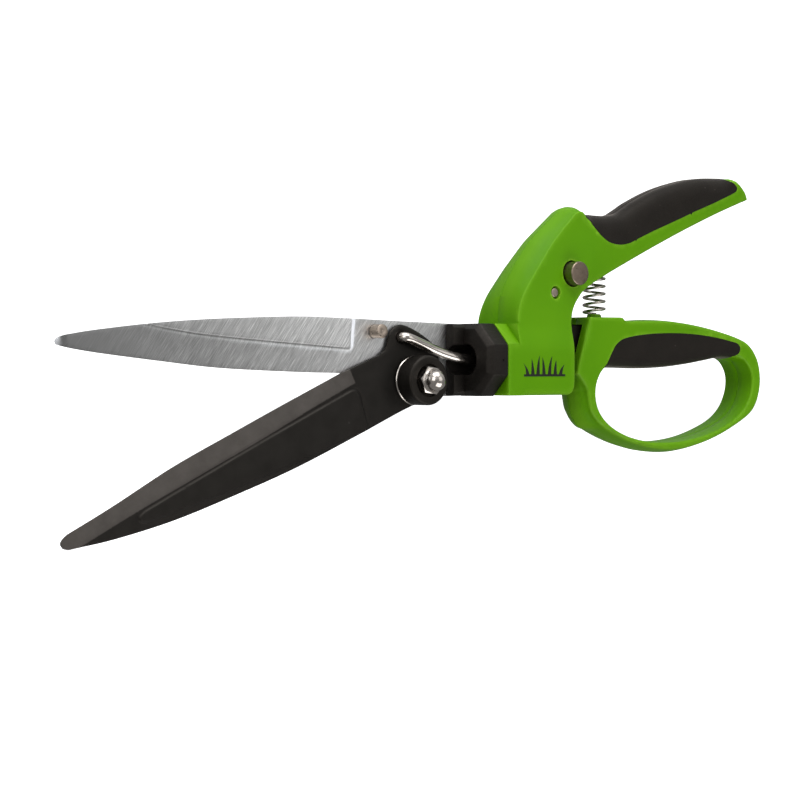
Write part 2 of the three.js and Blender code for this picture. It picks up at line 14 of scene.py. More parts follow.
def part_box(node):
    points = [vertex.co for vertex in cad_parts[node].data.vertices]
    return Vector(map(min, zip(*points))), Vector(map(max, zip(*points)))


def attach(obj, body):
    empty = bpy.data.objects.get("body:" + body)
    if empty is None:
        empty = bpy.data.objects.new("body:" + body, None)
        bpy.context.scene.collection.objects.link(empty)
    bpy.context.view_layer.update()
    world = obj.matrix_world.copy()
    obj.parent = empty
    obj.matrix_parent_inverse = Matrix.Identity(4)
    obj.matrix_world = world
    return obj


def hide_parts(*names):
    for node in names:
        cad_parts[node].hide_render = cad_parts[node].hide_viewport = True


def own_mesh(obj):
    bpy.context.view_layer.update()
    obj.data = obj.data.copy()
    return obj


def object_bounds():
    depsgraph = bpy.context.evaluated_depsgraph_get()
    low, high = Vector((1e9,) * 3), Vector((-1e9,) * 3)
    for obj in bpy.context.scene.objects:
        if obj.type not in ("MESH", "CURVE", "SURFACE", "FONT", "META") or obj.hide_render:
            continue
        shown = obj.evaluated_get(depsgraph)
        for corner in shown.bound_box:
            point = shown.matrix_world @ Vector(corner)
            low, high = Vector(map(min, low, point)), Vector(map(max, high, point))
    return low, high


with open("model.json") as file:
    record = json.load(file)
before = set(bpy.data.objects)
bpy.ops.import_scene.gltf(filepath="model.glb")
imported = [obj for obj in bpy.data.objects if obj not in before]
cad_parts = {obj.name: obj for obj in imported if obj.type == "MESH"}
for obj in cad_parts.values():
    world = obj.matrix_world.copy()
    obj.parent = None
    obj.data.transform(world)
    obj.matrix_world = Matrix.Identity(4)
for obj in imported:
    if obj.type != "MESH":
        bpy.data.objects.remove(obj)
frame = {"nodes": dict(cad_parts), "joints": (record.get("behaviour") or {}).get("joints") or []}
cad_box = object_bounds()

# ---- driving dimensions, in millimetres ----
MM = 0.001
JOINTS = {joint["name"]: joint for joint in frame["joints"]}
ORIGIN = np.array(JOINTS["head_swivel"]["pos_m"])


def joint_spot(name):
    """X and Z of a joint in the swivel frame."""
    spot = (np.array(JOINTS[name]["pos_m"]) - ORIGIN) / MM
    return float(spot[0]), float(spot[2])


def node_middle(node, turn):
    """Middle of a CAD node in the swivel frame, on the two axes across turn."""
    low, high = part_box(node)
    spot = (np.array((low + high) / 2) - ORIGIN) / MM
    return [float(spot[i]) for i in range(3) if i != turn]


HANDLE_PIN = joint_spot("handle_squeeze")
BLADE_BOLT = joint_spot("blade_close")
EAR_HOLE = joint_spot("rod_hook")
LOCK_AXIS = node_middle("lock_button", 1)
STOP_PIN = node_middle("stop_pin", 1)
SPRING_AXIS = node_middle("return_spring", 2)

BODY_HALF = 14.35
BODY_FLOOR = -15.0
BOSS_END = 6.6
COLLAR_ACROSS = 28.7
COLLAR_FRONT = -9.6
COLLAR_CHAMFER = 2.2
BORE_RADIUS = 6.15
OCTAGON_FLAT = COLLAR_ACROSS / 2 * math.tan(math.pi / 8)
FIXED_NEAR, FIXED_FAR = 6.5, 8.8
MOVING_NEAR, MOVING_FAR = 4.0, 6.2
BOLT_HOLE = 3.3
ROD_RADIUS = 2.0
EAR_RADIUS = 1.9
RIVETS = {"blade_rivet_upper": (-12.5, 8.8), "blade_rivet_lower": (-12.5, -8.8)}
RIVET_HOLE = 1.9
PIN_RADIUS, PIN_HOLE = 2.2, 2.5
STEM_RADIUS, STEM_HOLE = 1.9, 2.2
BUTTON_RADIUS, BUTTON_HOLE = 4.8, 5.45
SPRING_SEAT_RADIUS, SPRING_SEAT_TOP = 5.6, 44.4
LOOP_HALF = 8.3
TOP_HALF = 8.4
GRIP_PROUD = 0.15
GRIP_GAP = 0.05
GRIP_SKIN = 2.6
SEAM_HALF = 0.32


# ---- outlines in X and Z ----
def curve_runs(knots):
    """The runs of a smooth curve through the knots, each with the distance between its ends."""
    knots = [np.array(knot, float) for knot in knots]
    knots = [2 * knots[0] - knots[1]] + knots + [2 * knots[-1] - knots[-2]]
    for a, b, c, d in zip(knots, knots[1:], knots[2:], knots[3:]):
        def run(t, a=a, b=b, c=c, d=d):
            return 0.5 * (2 * b + (c - a) * t + (2 * a - 5 * b + 4 * c - d) * t * t
                          + (3 * b - a - 3 * c + d) * t ** 3)
        yield run, np.linalg.norm(c - b)


class Outline:
    """A closed side outline built from straight and curved runs."""

    def __init__(self, start, step=0.8):
        self.spots = [np.array(start, float)]
        self.step = step

    def _add(self, curve, length):
        count = max(1, int(round(length / self.step)))
        for i in range(1, count + 1):
            self.spots.append(curve(i / count))

    def line(self, *ends):
        for end in ends:
            start, end = self.spots[-1], np.array(end, float)
            self._add(lambda t: start + (end - start) * t, np.linalg.norm(end - start))
        return self

    def curve(self, *through):
        for run, length in curve_runs([self.spots[-1], *through]):
            self._add(run, length)
        return self

    def bend(self, control, end):
        start, control, end = self.spots[-1], np.array(control, float), np.array(end, float)
        length = np.linalg.norm(control - start) + np.linalg.norm(end - control)
        self._add(lambda t: start * (1 - t) ** 2 + control * 2 * t * (1 - t) + end * t * t,
                  length)
        return self

    def loop(self, clockwise=False):
        spots = np.array(self.spots)
        if np.linalg.norm(spots[0] - spots[-1]) < 1e-6:
            spots = spots[:-1]
        x, z = spots.T
        area = np.sum(x * np.roll(z, -1) - np.roll(x, -1) * z)
        return spots[::-1] if (area > 0) == clockwise else spots


def normals_of(loop):
    """Outward normals of a counter-clockwise loop, or those into the hole of a clockwise one."""
    ahead = np.roll(loop, -1, 0) - loop
    ahead /= np.linalg.norm(ahead, axis=1)[:, None]
    tangent = ahead + np.roll(ahead, 1, 0)
    size = np.linalg.norm(tangent, axis=1)[:, None]
    return np.stack([tangent[:, 1], -tangent[:, 0]], 1) / size / np.clip(size / 2, 0.7, 1)


def nearest(spots, loops):
    """Distance from each spot to the loops, and the loop vertex that is closest."""
    starts = np.concatenate(loops)
    spans = np.concatenate([np.roll(loop, -1, 0) - loop for loop in loops])
    squares = np.sum(spans * spans, 1)
    distance, vertex = [], []
    for chunk in np.array_split(spots, max(1, len(spots) // 1500)):
        away = chunk[:, None] - starts
        share = np.clip(np.sum(away * spans, 2) / squares, 0, 1)
        gaps = np.linalg.norm(away - share[:, :, None] * spans, axis=2)
        pick = gaps.argmin(1)
        distance.append(gaps[np.arange(len(chunk)), pick])
        vertex.append(pick)
    return np.concatenate(distance), np.concatenate(vertex)


def inside(spots, loops):
    """Whether each spot lies within the loops, and not in a hole."""
    found = np.zeros(len(spots), bool)
    for loop in loops:
        a, b = loop, np.roll(loop, -1, 0)
        x, z = spots[:, None, 0], spots[:, None, 1]
        crosses = (a[:, 1] > z) != (b[:, 1] > z)
        rise = np.where(b[:, 1] == a[:, 1], 1e-12, b[:, 1] - a[:, 1])
        cut = a[:, 0] + (z - a[:, 1]) / rise * (b[:, 0] - a[:, 0])
        found ^= (np.sum(crosses & (x < cut), 1) % 2).astype(bool)
    return found


def signed_depth(x, z, loop):
    """How far inside the loop each point lies, negative outside."""
    spots = np.stack([x, z], 1)
    distance, _ = nearest(spots, [loop])
    return np.where(inside(spots, [loop]), distance, -distance)


def smooth(t):
    """Eases from nothing at 0 to one at 1."""
    t = np.clip(t, 0, 1)
    return t * t * (3 - 2 * t)


# ---- meshes ----
def make_piece(spots, faces, material=None, sharp=35):
    """A new object from points in millimetres. Edges over sharp degrees stay crisp."""
    mesh = bpy.data.meshes.new("piece")
    mesh.from_pydata((np.asarray(spots) * MM + ORIGIN).tolist(), [], faces)
    mesh.validate()
    shade(mesh, sharp)
    piece = bpy.data.objects.new("piece", mesh)
    bpy.context.scene.collection.objects.link(piece)
    if material:
        mesh.materials.append(material)
    return piece


def shade(mesh, sharp=35):
    mesh.polygons.foreach_set("use_smooth", [True] * len(mesh.polygons))
    mesh.set_sharp_from_angle(angle=math.radians(sharp))


def apply_modifiers(piece):
    """The piece's mesh with its modifiers worked in, and no modifier left on the piece."""
    depsgraph = bpy.context.evaluated_depsgraph_get()
    depsgraph.update()
    mesh = bpy.data.meshes.new_from_object(piece.evaluated_get(depsgraph))
    piece.modifiers.clear()
    return mesh


def combine(piece, tool, operation="DIFFERENCE"):
    """Cuts the tool out of the piece, or joins or intersects them, and deletes the tool."""
    modifier = piece.modifiers.new("combine", "BOOLEAN")
    modifier.operation = operation
    modifier.solver = "MANIFOLD"
    modifier.object = tool
    mesh = apply_modifiers(piece)
    own = [material for material in piece.data.materials if material]
    mesh.materials.clear()
    for material in own[:1]:
        mesh.materials.append(material)
    mesh.polygons.foreach_set("material_index", [0] * len(mesh.polygons))
    piece.data = mesh
    shade(mesh)
    bpy.data.objects.remove(tool)
    return piece


def cut(piece, *tools):
    for tool in tools:
        combine(piece, tool)


def moulded(loops, near, far, edge, material, crown=None, seam=0.0, grid=1.6, extra=None):
    """A closed solid between the faces near(x, z) and far(x, z), with rounded edges.

    loops are the outer outline and then any holes. edge(x, z) gives how far the rounding
    reaches in from the outline and how deep it is along Y. crown(x, z) is how far the wall
    swells at mid thickness, and seam the depth of the parting line there."""
    loops = [loop.astype(np.float32).astype(float) for loop in loops]
    rim = np.concatenate(loops)
    rim_normals = np.concatenate([normals_of(loop) for loop in loops])
    inset, depth = edge(rim[:, 0], rim[:, 1])
    turns = np.radians([22, 44, 66, 90])
    rings = [rim - rim_normals * (inset * (1 - math.cos(turn)))[:, None] for turn in turns]
    low, high = rim.min(0), rim.max(0)
    columns = np.arange(low[0], high[0], grid)
    rows = np.arange(low[1], high[1], grid * 0.866)
    lattice = np.array([[x + (grid / 2 if k % 2 else 0), z]
                        for k, z in enumerate(rows) for x in columns])
    inner = lattice[inside(lattice, loops)]
    away, owner = nearest(inner, loops)
    kept = [inner[away > inset[owner] + grid * 0.45]]
    for ring, turn in zip(rings, turns):
        reach = inset * (1 - math.cos(turn))
        away, owner = nearest(ring, loops)
        kept.append(ring[(away > reach * 0.93) & (reach > 0.05) & inside(ring, loops)])
    if extra is not None:
        away, owner = nearest(extra, loops)
        kept.append(extra[(away > inset[owner] + 0.2) & inside(extra, loops)])
    cloud = np.concatenate([rim] + kept)
    borders, first = [], 0
    for loop in loops:
        count = len(loop)
        borders += [(first + i, first + (i + 1) % count) for i in range(count)]
        first += count
    flat, _, faces, origins, _, _ = geometry.delaunay_2d_cdt(
        [Vector(p) for p in cloud], borders, [], 0, 1e-5, True)
    flat = np.array([tuple(p) for p in flat])
    faces = np.array(faces)
    faces = faces[inside(flat[faces].mean(1), loops)]
    place = {}
    for new, olds in enumerate(origins):
        for old in olds:
            place[old] = new
    away, owner = nearest(flat, loops)
    share = np.clip(away / np.maximum(inset[owner], 1e-6), 0, 1)
    drop = depth[owner] * (1 - np.sqrt(1 - (1 - share) ** 2))
    x, z = flat.T
    near_y, far_y = near(x, z) + drop, far(x, z) - drop
    spots = [np.stack([x, near_y, z], 1), np.stack([x, far_y, z], 1)]
    count = len(flat)
    polygons = [tuple(f) for f in faces.tolist()]
    polygons += [(a + count, c + count, b + count) for a, b, c in faces.tolist()]
    swell = np.zeros(len(rim)) if crown is None else crown(rim[:, 0], rim[:, 1])
    rim_at = np.array([place[i] for i in range(len(rim))])
    middle = (near_y[rim_at] + far_y[rim_at]) / 2
    half = (far_y[rim_at] - near_y[rim_at]) / 2
    parting = SEAM_HALF / half
    stations = [(s + 0 * half, 0) for s in (-0.88, -0.66, -0.4, 0.4, 0.66, 0.88)]
    stations[3:3] = [(-parting, 0), (0 * half, seam), (parting, 0)] if seam else [(0 * half, 0)]
    layers = [rim_at]
    for station, sunk in stations:
        where = rim + rim_normals * (swell * (1 - station ** 2) - sunk)[:, None]
        layers.append(np.arange(len(rim)) + sum(len(s) for s in spots))
        spots.append(np.stack([where[:, 0], middle + station * half, where[:, 1]], 1))
    layers.append(rim_at + count)
    first = 0
    for loop in loops:
        span = len(loop)
        for front, back in zip(layers, layers[1:]):
            for i in range(span):
                a, b = first + i, first + (i + 1) % span
                polygons.append((int(front[a]), int(back[a]), int(back[b]), int(front[b])))
        first += span
    return make_piece(np.concatenate(spots), polygons, material)


def side_prism(spots, near, far):
    """A plain tool: a side outline between two Y values."""
    loop = np.array(spots, float)
    x, z = loop.T
    if np.sum(x * np.roll(z, -1) - np.roll(x, -1) * z) < 0:
        loop = loop[::-1]
    return prism_of([(x, near, z) for x, z in loop], [(x, far, z) for x, z in loop])


def end_prism(spots, start, end):
    """A plain tool: an outline in Y and Z between two X values."""
    loop = np.array(spots, float)
    y, z = loop.T
    if np.sum(y * np.roll(z, -1) - np.roll(y, -1) * z) < 0:
        loop = loop[::-1]
    return prism_of([(end, y, z) for y, z in loop], [(start, y, z) for y, z in loop])


def prism_of(front, back):
    count = len(front)
    faces = [tuple(range(count)), tuple(range(2 * count - 1, count - 1, -1))]
    faces += [(i, i + count, (i + 1) % count + count, (i + 1) % count) for i in range(count)]
    return make_piece(front + back, faces)


def turned(profile, axis, centre, material=None, segments=96):
    """A turned piece. profile is a list of [radius, distance along the axis], radius 0 at an
    end that closes on the axis. centre gives the axis's place on the other two axes."""
    spots, rings, faces = [], [], []
    for radius, along in profile:
        turns = 1 if radius < 1e-6 else segments
        rings.append(list(range(len(spots), len(spots) + turns)))
        for i in range(turns):
            angle = 2 * math.pi * i / segments
            u, v = radius * math.cos(angle), radius * math.sin(angle)
            spots.append({"x": (along, centre[0] + u, centre[1] + v),
                          "y": (centre[0] + u, along, centre[1] - v),
                          "z": (centre[0] + u, centre[1] + v, along)}[axis])
    closed = profile[0][0] > 1e-6
    pairs = list(zip(rings, rings[1:])) + ([(rings[-1], rings[0])] if closed else [])
    for low, high in pairs:
        for i in range(segments):
            j = (i + 1) % segments
            corners = [low[i % len(low)], low[j % len(low)], high[j % len(high)],
                       high[i % len(high)]]
            faces.append(tuple(dict.fromkeys(corners)))
    return make_piece(spots, faces, material)


def rounded(profile, radius, steps=4):
    """Rounds the sharp corners of a turned profile that lie off the axis."""
    soft = []
    for i, (r, h) in enumerate(profile):
        here = np.array([r, h], float)
        if i in (0, len(profile) - 1) or r < 1e-6:
            soft.append((r, h))
            continue
        before, after = np.array(profile[i - 1], float), np.array(profile[i + 1], float)
        back, ahead = before - here, after - here
        reach = min(radius, 0.45 * np.linalg.norm(back), 0.45 * np.linalg.norm(ahead))
        a = here + back / np.linalg.norm(back) * reach
        b = here + ahead / np.linalg.norm(ahead) * reach
        for k in range(steps + 1):
            t = k / steps
            soft.append(tuple(a * (1 - t) ** 2 + here * 2 * t * (1 - t) + b * t * t))
    return soft


def swept(path, radius, material, sides, ends):
    """A round wire along the path, with softly domed ends that reach out by that share."""
    path = np.array(path, float)
    tangent = np.gradient(path, axis=0)
    tangent /= np.linalg.norm(tangent, axis=1)[:, None]
    side = np.cross(tangent[0], [0.3, 0.2, 0.93])
    spots, rings, faces = [], [], []

    def ring(centre, normal, reach):
        other = np.cross(normal, side)
        rings.append(len(spots))
        for i in range(sides):
            angle = 2 * math.pi * i / sides
            spots.append(centre + reach * (side * math.cos(angle) + other * math.sin(angle)))

    for k, centre in enumerate(path):
        side = side - tangent[k] * np.dot(side, tangent[k])
        side /= np.linalg.norm(side)
        if k == 0:
            for bend in (0.25, 0.6, 0.85):
                shift = radius * ends * (1 - bend)
                ring(centre - tangent[k] * shift, tangent[k], radius * math.sqrt(bend))
        ring(centre, tangent[k], radius)
        if k == len(path) - 1:
            for bend in (0.85, 0.6, 0.25):
                shift = radius * ends * (1 - bend)
                ring(centre + tangent[k] * shift, tangent[k], radius * math.sqrt(bend))
    for low, high in zip(rings, rings[1:]):
        for i in range(sides):
            j = (i + 1) % sides
            faces.append((low + i, low + j, high + j, high + i))
    faces.append(tuple(rings[0] + i for i in reversed(range(sides))))
    faces.append(tuple(rings[-1] + i for i in range(sides)))
    return make_piece(spots, faces, material, 50)


def spline_path(knots, step):
    """Points along a smooth curve through knots in space."""
    path = []
    for run, length in curve_runs(knots):
        count = max(2, int(length / step))
        path += [run(i / count) for i in range(count)]
    return path + [np.array(knots[-1], float)]


def cylinder(radius, low, high, axis, centre, segments=96):
    ends = [(0, low), (radius, low), (radius, high), (0, high)]
    return turned(ends, axis, centre, None, segments)


def finish_piece(piece, body, node):
    """Puts a finished piece on its body, in place of one CAD node."""
    piece.name = node + "_fine"
    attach(piece, body)
    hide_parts(node)


def finish_turned(profile, axis, centre, material, segments, body, node):
    finish_piece(turned(profile, axis, centre, material, segments), body, node)


# ---- widths and rounding of the handles ----
def blended(value, knots, reach):
    """A smooth curve through [value, result] knots, averaged over a reach on both sides."""
    xs, ys = zip(*knots)
    shifts = np.linspace(-reach, reach, 9)
    return np.mean([np.interp(value + shift, xs, ys) for shift in shifts], axis=0)


def softer_min(a, b, soft=0.5):
    return (a + b - np.sqrt((a - b) ** 2 + soft * soft)) / 2


def upper_half(x, z):
    """Half width of the upper handle: the cheeks draw in upwards, the handle towards its tip."""
    by_height = blended(z, [(-30, BODY_HALF), (5.0, BODY_HALF), (12.7, 12.45), (21.8, 11.6),
                            (32, 10.8), (38.6, 10.4), (46.7, 9.3), (53.5, 8.5), (62, 8.1),
                            (80, 8.0)], 2.2)
    by_length = blended(x, [(-10, 20), (34, 16), (42, 12.0), (52, 9.9), (62, 8.9), (80, 8.5),
                            (120, 8.4), (141, 8.2), (146, 8.0), (149, 7.5), (153, 6.6)], 1.2)
    return softer_min(by_height, by_length)


def upper_outline(grow=0.0):
    outline = Outline((0.3, BODY_FLOOR + 0.9), 0.7)
    outline.line((32.2, BODY_FLOOR + 0.9)).bend((36.9, BODY_FLOOR + 0.9), (36.95, -8.6))
    outline.line((37.0, 15.3)).curve((38.5, 20.3), (41.5, 24.6), (46.8, 29.1), (59.0, 34.7),
                                     (74.5, 41.5), (92.6, 49.3), (111.2, 56.9), (130.3, 64.2),
                                     (148.0, 70.4))
    outline.line((149.0, 70.9)).bend((146.6, 76.9), (139.4, 79.6))
    outline.curve((134.8, 79.6), (120.0, 78.6), (107.4, 76.0), (95.0, 72.3), (82.8, 67.1),
                  (76.8, 63.9), (70.9, 61.0), (65.0, 60.0), (60.0, 59.8), (50.6, 60.0))
    outline.bend((46.0, 61.9), (42.6, 59.7))
    outline.curve((35.5, 53.5), (28.2, 46.7), (20.9, 38.6), (15.5, 32.0), (11.3, 26.4),
                  (8.9, 21.8), (7.7, 17.7), (7.4, 14.35)).line((0.3, 14.35))
    outline.line((0.3, BODY_FLOOR + 0.9))
    loop = outline.loop()
    return loop + normals_of(loop) * grow


def front_share(x, z):
    """One on the front wall, easing to nothing past the top of the crown."""
    return np.where(z > 14.6, smooth((0.78 * z - x + 4.5) / 6), 0)


def upper_edge(x, z):
    """The grip's back is well rounded, the front crease tight, and the rest softly broken."""
    back = smooth((x - 46) / 9) * smooth((z - (30 + 0.26 * x) - 3) / 6) * smooth((143 - x) / 10)
    crease = 1.15 - 0.4 * front_share(x, z) - 0.7 * smooth((x - 145) / 3)
    boss = smooth((9 - x) / 3)
    inset = crease * (1 - boss) + 0.25 * boss
    inset = inset + back * 5.6
    depth = inset * (1 - back) + back * 5.4
    return inset, depth


def upper_crown(x, z):
    """How far the front wall and the handle's edges swell at the parting line."""
    front = blended(z, [(14.3, 0), (17, 0.15), (22, 1.1), (30, 2.7), (36, 3.5), (46, 3.8),
                        (54, 2.9), (61, 2.2), (66, 2.2)], 1.5)
    under = 0.7 * smooth((x - 46) / 14) * smooth((37 + 0.26 * x - z) / 4)
    return front * front_share(x, z) + under


def upper_moulding(grow, material, grid=1.6, seam=0.2):
    return moulded(
        [upper_outline(grow)], lambda x, z: -upper_half(x, z) - grow,
        lambda x, z: upper_half(x, z) + grow, upper_edge, material, upper_crown, seam, grid)


def cheek_profile(inset):
    rise = [(BODY_HALF, -60), (BODY_HALF, 5.9), (12.3, 14.35), (11.6, 22), (10.8, 32),
            (9.8, 42), (8.8, 52), (8.4, 62), (7.8, 90)]
    right = [(w - inset, z) for w, z in rise]
    return right + [(-w, z) for w, z in reversed(right)]


def upper_cavity():
    room = [(7.5, -12), (60, -12), (60, 19.5), (39.4, 22.6), (38.6, 25.2), (41.2, 29.2),
            (43.6, 33.4), (42.4, 38.6), (38, 43), (32, 44.8), (27.6, 44.4), (24.6, 41),
            (18.8, 34.4), (14.6, 27.4), (11.8, 20.8), (11, 14), (7.5, 12.5)]
    tool = side_prism(room, -BODY_HALF, BODY_HALF)
    return combine(tool, end_prism(cheek_profile(2.8), 0, 70), "INTERSECT")


def upper_grip_region(grow):
    """The soft grip's outline on the side of the upper handle, with its two small nicks."""
    outline = Outline((52.0 - grow, 90), 0.5)
    outline.line((49.6 - grow, 66.0)).curve(
        (48.5 - grow, 61.6), (50.0 - grow, 58.6 - grow), (53.0 - grow, 55.1 - grow),
        (56.8 - grow, 51.5 - grow), (61.4, 48.9 - grow), (67.4, 48.0 - grow),
        (73.0, 48.7 - grow), (77.2, 50.2 - grow))
    outline.line((77.5, 49.8 - grow), (78.3, 50.7 - grow))
    outline.curve((89.0, 54.8 - grow), (104.6, 60.4 - grow), (111.6, 63.0 - grow))
    outline.line((112.0, 62.6 - grow), (112.8, 63.5 - grow))
    outline.curve((126.8, 68.4 - grow), (138.6, 72.9 - grow))
    outline.bend((143.4 + grow, 74.8 - grow), (140.2 + grow, 77.0))
    outline.line((134.0 + grow, 80.6), (128.0 + grow, 90))
    return outline.loop()


def upper_grip_core():
    half = TOP_HALF - GRIP_SKIN
    return side_prism([(43, 50), (52, 56.6), (61.5, 56.8), (66, 57.3), (72, 58.6), (77, 60.9),
                       (84, 64.4), (95, 69.2), (107, 72.9), (122, 75.8), (137, 76.6),
                       (142, 74), (143, 70), (60, 36), (48, 34)], -half, half)


# ---- handles and their soft grips ----
def grip_pocket(region, core):
    """The room that a grip fills: its region right through, round the core that it covers."""
    pocket = side_prism(region(GRIP_GAP), -20, 20)
    cut(pocket, core())
    return pocket


def finish_grip(grip, region, core, body, node):
    combine(grip, side_prism(region(0), -20, 20), "INTERSECT")
    cut(grip, core())
    finish_piece(grip, body, node)


def build_upper_handle(green, rubber):
    handle = upper_moulding(0.0, green)
    cut(handle, grip_pocket(upper_grip_region, upper_grip_core))
    for side in (-1, 1):
        corner = [(side * OCTAGON_FLAT, BODY_HALF + 0.02), (side * BODY_HALF, OCTAGON_FLAT),
                  (side * 18, OCTAGON_FLAT), (side * 18, 18), (side * OCTAGON_FLAT, 18)]
        cut(handle, end_prism(corner, -1, BOSS_END))
    cut(handle, upper_cavity())
    cut(handle, cylinder(8.5, -1, 9, "x", (0, 0)),
        cylinder(1.7, -1, 6.4, "x", (0, -11.9), 32),
        cylinder(BUTTON_HOLE, -20, 0, "y", LOCK_AXIS),
        cylinder(STEM_HOLE, -1, 20, "y", LOCK_AXIS, 48),
        cylinder(PIN_HOLE, -20, 20, "y", HANDLE_PIN, 64),
        cylinder(2.65, -20, -8.0, "y", HANDLE_PIN, 64),
        cylinder(4.6, 9.6, 20, "y", HANDLE_PIN, 64),
        cylinder(SPRING_SEAT_RADIUS, 20, SPRING_SEAT_TOP, "z", (SPRING_AXIS[0], 0), 64))
    finish_piece(handle, "body", "upper_handle")
    finish_grip(upper_moulding(GRIP_PROUD, rubber, 1.4, 0.45), upper_grip_region,
                upper_grip_core, "body", "upper_grip")


def loop_outline(grow=0.0):
    outline = Outline((43.9, -5.6), 0.7)
    outline.curve((45.6, 0.8), (47.9, 7.2)).line((51.3, 17.7), (69.4, 17.8))
    outline.bend((70.9, 17.8), (71.5, 16.9)).bend((72.0, 16.2), (74.0, 16.25))
    outline.curve((84.9, 16.6), (98.9, 16.5), (113.3, 15.3), (128.0, 13.1), (143.0, 9.7),
                  (150.6, 6.4), (155.7, 0.4), (157.6, -6.6), (157.1, -13.5), (153.9, -20.5),
                  (147.8, -25.3), (133.0, -31.8), (118.3, -36.1), (103.9, -38.2),
                  (92.5, -37.8), (83.2, -36.4), (72.2, -33.5), (61.7, -29.2), (55.4, -25.3),
                  (51.6, -20.8), (50.1, -15.6), (48.8, -11.2), (43.9, -5.6))
    loop = outline.loop()
    return loop + normals_of(loop) * grow


def loop_hole(grow=0.0):
    outline = Outline((60.6, -2.4), 0.7)
    outline.curve((57.0, -6.2), (54.9, -11.4), (55.2, -17.6), (58.4, -23.2), (64.6, -28.0),
                  (74.0, -31.9), (85.0, -34.2), (94.4, -34.9), (108.8, -34.5), (123.5, -32.0),
                  (138.6, -26.9), (147.2, -20.8), (151.3, -13.3), (151.5, -6.4),
                  (147.6, -0.8), (142.0, 1.1), (133.0, 1.6), (124.0, 0.4), (112.0, -1.2),
                  (98.5, -2.4), (84.9, -2.8), (72.1, -2.5), (60.6, -2.4))
    loop = outline.loop(clockwise=True)
    return loop + normals_of(loop) * grow


def over_grip(x, z):
    """One along the finger side of the lower grip, easing to nothing past its ends."""
    return smooth((x - 59) / 6) * smooth((146 - x) / 6) * smooth((z + 4.5) / 2)


def on_hole(x, z):
    """Whether each point is on the rim of the finger hole, not on the outside of the loop."""
    return nearest(np.stack([x, z], 1), [loop_hole()])[0] < 1.0


def lower_edge(x, z):
    block = smooth((50 - x) / 3) * smooth((z + 8) / 3)
    outer = 1.7 - 0.8 * block - 0.6 * smooth((z - 14) / 2)
    inner = 1.1 + 2.2 * over_grip(x, z)
    inset = np.where(on_hole(x, z), inner, outer)
    return inset, inset * 0.82


def lower_crown(x, z):
    corner = smooth((64 - x) / 8) * smooth((z + 30) / 6)
    outer = (1.2 + 2.6 * corner) * smooth((-6.5 - z) / 5) * smooth((150 - x) / 30)
    outer = outer + 0.6 * smooth((x - 74) / 16) * smooth((z + 9) / 5)
    return np.where(on_hole(x, z), 0.35 + 0.25 * over_grip(x, z), outer)


def lower_moulding(grow, material, grid=1.6):
    half = LOOP_HALF + grow
    return moulded([loop_outline(grow), loop_hole(grow)], lambda x, z: 0 * x - half,
                   lambda x, z: 0 * x + half, lower_edge, material, lower_crown, 0.2, grid)


def lower_grip_region(grow):
    outline = Outline((57.4 - grow, -8), 0.5)
    outline.curve((60.5 - grow, -2.2), (63.9 - grow, 3.4), (66.6 - grow, 6.7), (72.0, 9.2 + grow),
                  (84.9, 10.9 + grow), (99.0, 11.5 + grow), (113.3, 11.2 + grow),
                  (128.0, 9.8 + grow), (139.4, 7.9 + grow))
    outline.bend((143.6 + grow, 7.2 + grow), (143.4 + grow, 4.9))
    outline.bend((142.8 + grow, 2.2), (139.6 + grow, 1.7)).line((136.0, -8))
    return outline.loop()


def lower_grip_core():
    half = LOOP_HALF - GRIP_SKIN
    return side_prism([(61, 14), (65.5, 3), (72, 0.8), (85, 0.3), (98, 0.7), (112, 2),
                       (124, 3.8), (134, 4.6), (138, 5.6), (146, 6.2), (146, 9), (120, 14)],
                      -half, half)


def on_circle(centre, radius, degrees):
    angle = math.radians(degrees)
    return centre[0] + radius * math.cos(angle), centre[1] + radius * math.sin(angle)


def build_lever_arm(black):
    """The web, hub, lock lug and fork inside the body, behind the trigger loop."""
    web = [(26.2, 27), (25.6, 9), (27.2, 7.4), (30.4, 7.4), (36, 3.4), (60, 3.4), (60, 15.5),
           (52, 15.5), (51, 14.2), (42, 14.2), (35.4, 17.6), (33.2, 27)]
    arm = side_prism(web, -3, 3)
    combine(arm, cylinder(6.2, -6.2, 6.2, "y", HANDLE_PIN, 64), "UNION")
    lug = [on_circle(HANDLE_PIN, 0.5, 65)]
    lug += [on_circle(HANDLE_PIN, 16.2, degrees) for degrees in range(50, 81, 3)]
    combine(arm, side_prism(lug, -3, 3), "UNION")
    limb = [(27.2, 0), (30.4, 0), (30.4, 7.4), (31.8, 12), (26, 12), (27.2, 7.4)]
    fork = side_prism(limb, -6.3, 6.3)
    combine(fork, cylinder(3.0, -6.3, 6.3, "y", (HANDLE_PIN[0], 0), 48), "UNION")
    slot = [(-3.6, -10), (3.6, -10), (3.6, 3.4), (2, 5.4), (-2, 5.4), (-3.6, 3.4)]
    cut(fork, end_prism(slot, 20, 36))
    combine(arm, fork, "UNION")
    cut(arm, cylinder(2.65, -20, 20, "y", HANDLE_PIN, 64))
    arm.name = "lever_arm_fine"
    arm.data.materials.append(black)
    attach(arm, "lower_lever")


def build_lower_handle(green, rubber):
    handle = lower_moulding(0.0, green)
    room = [(30, -6.6), (45.5, -5.6), (53.4, 1), (57.5, 8), (58.5, 14.7), (30, 14.7)]
    cut(handle, grip_pocket(lower_grip_region, lower_grip_core), side_prism(room, -4.4, 4.4))
    stub = turned([(0, 16.5), (3, 16.5), (3, 18.6), (2.4, 19.2), (0, 19.2)], "z",
                  (SPRING_AXIS[0], 0), None, 48)
    combine(handle, stub, "UNION")
    finish_piece(handle, "lower_lever", "lower_handle")
    finish_grip(lower_moulding(GRIP_PROUD, rubber, 1.4), lower_grip_region, lower_grip_core,
                "lower_lever", "lower_grip")


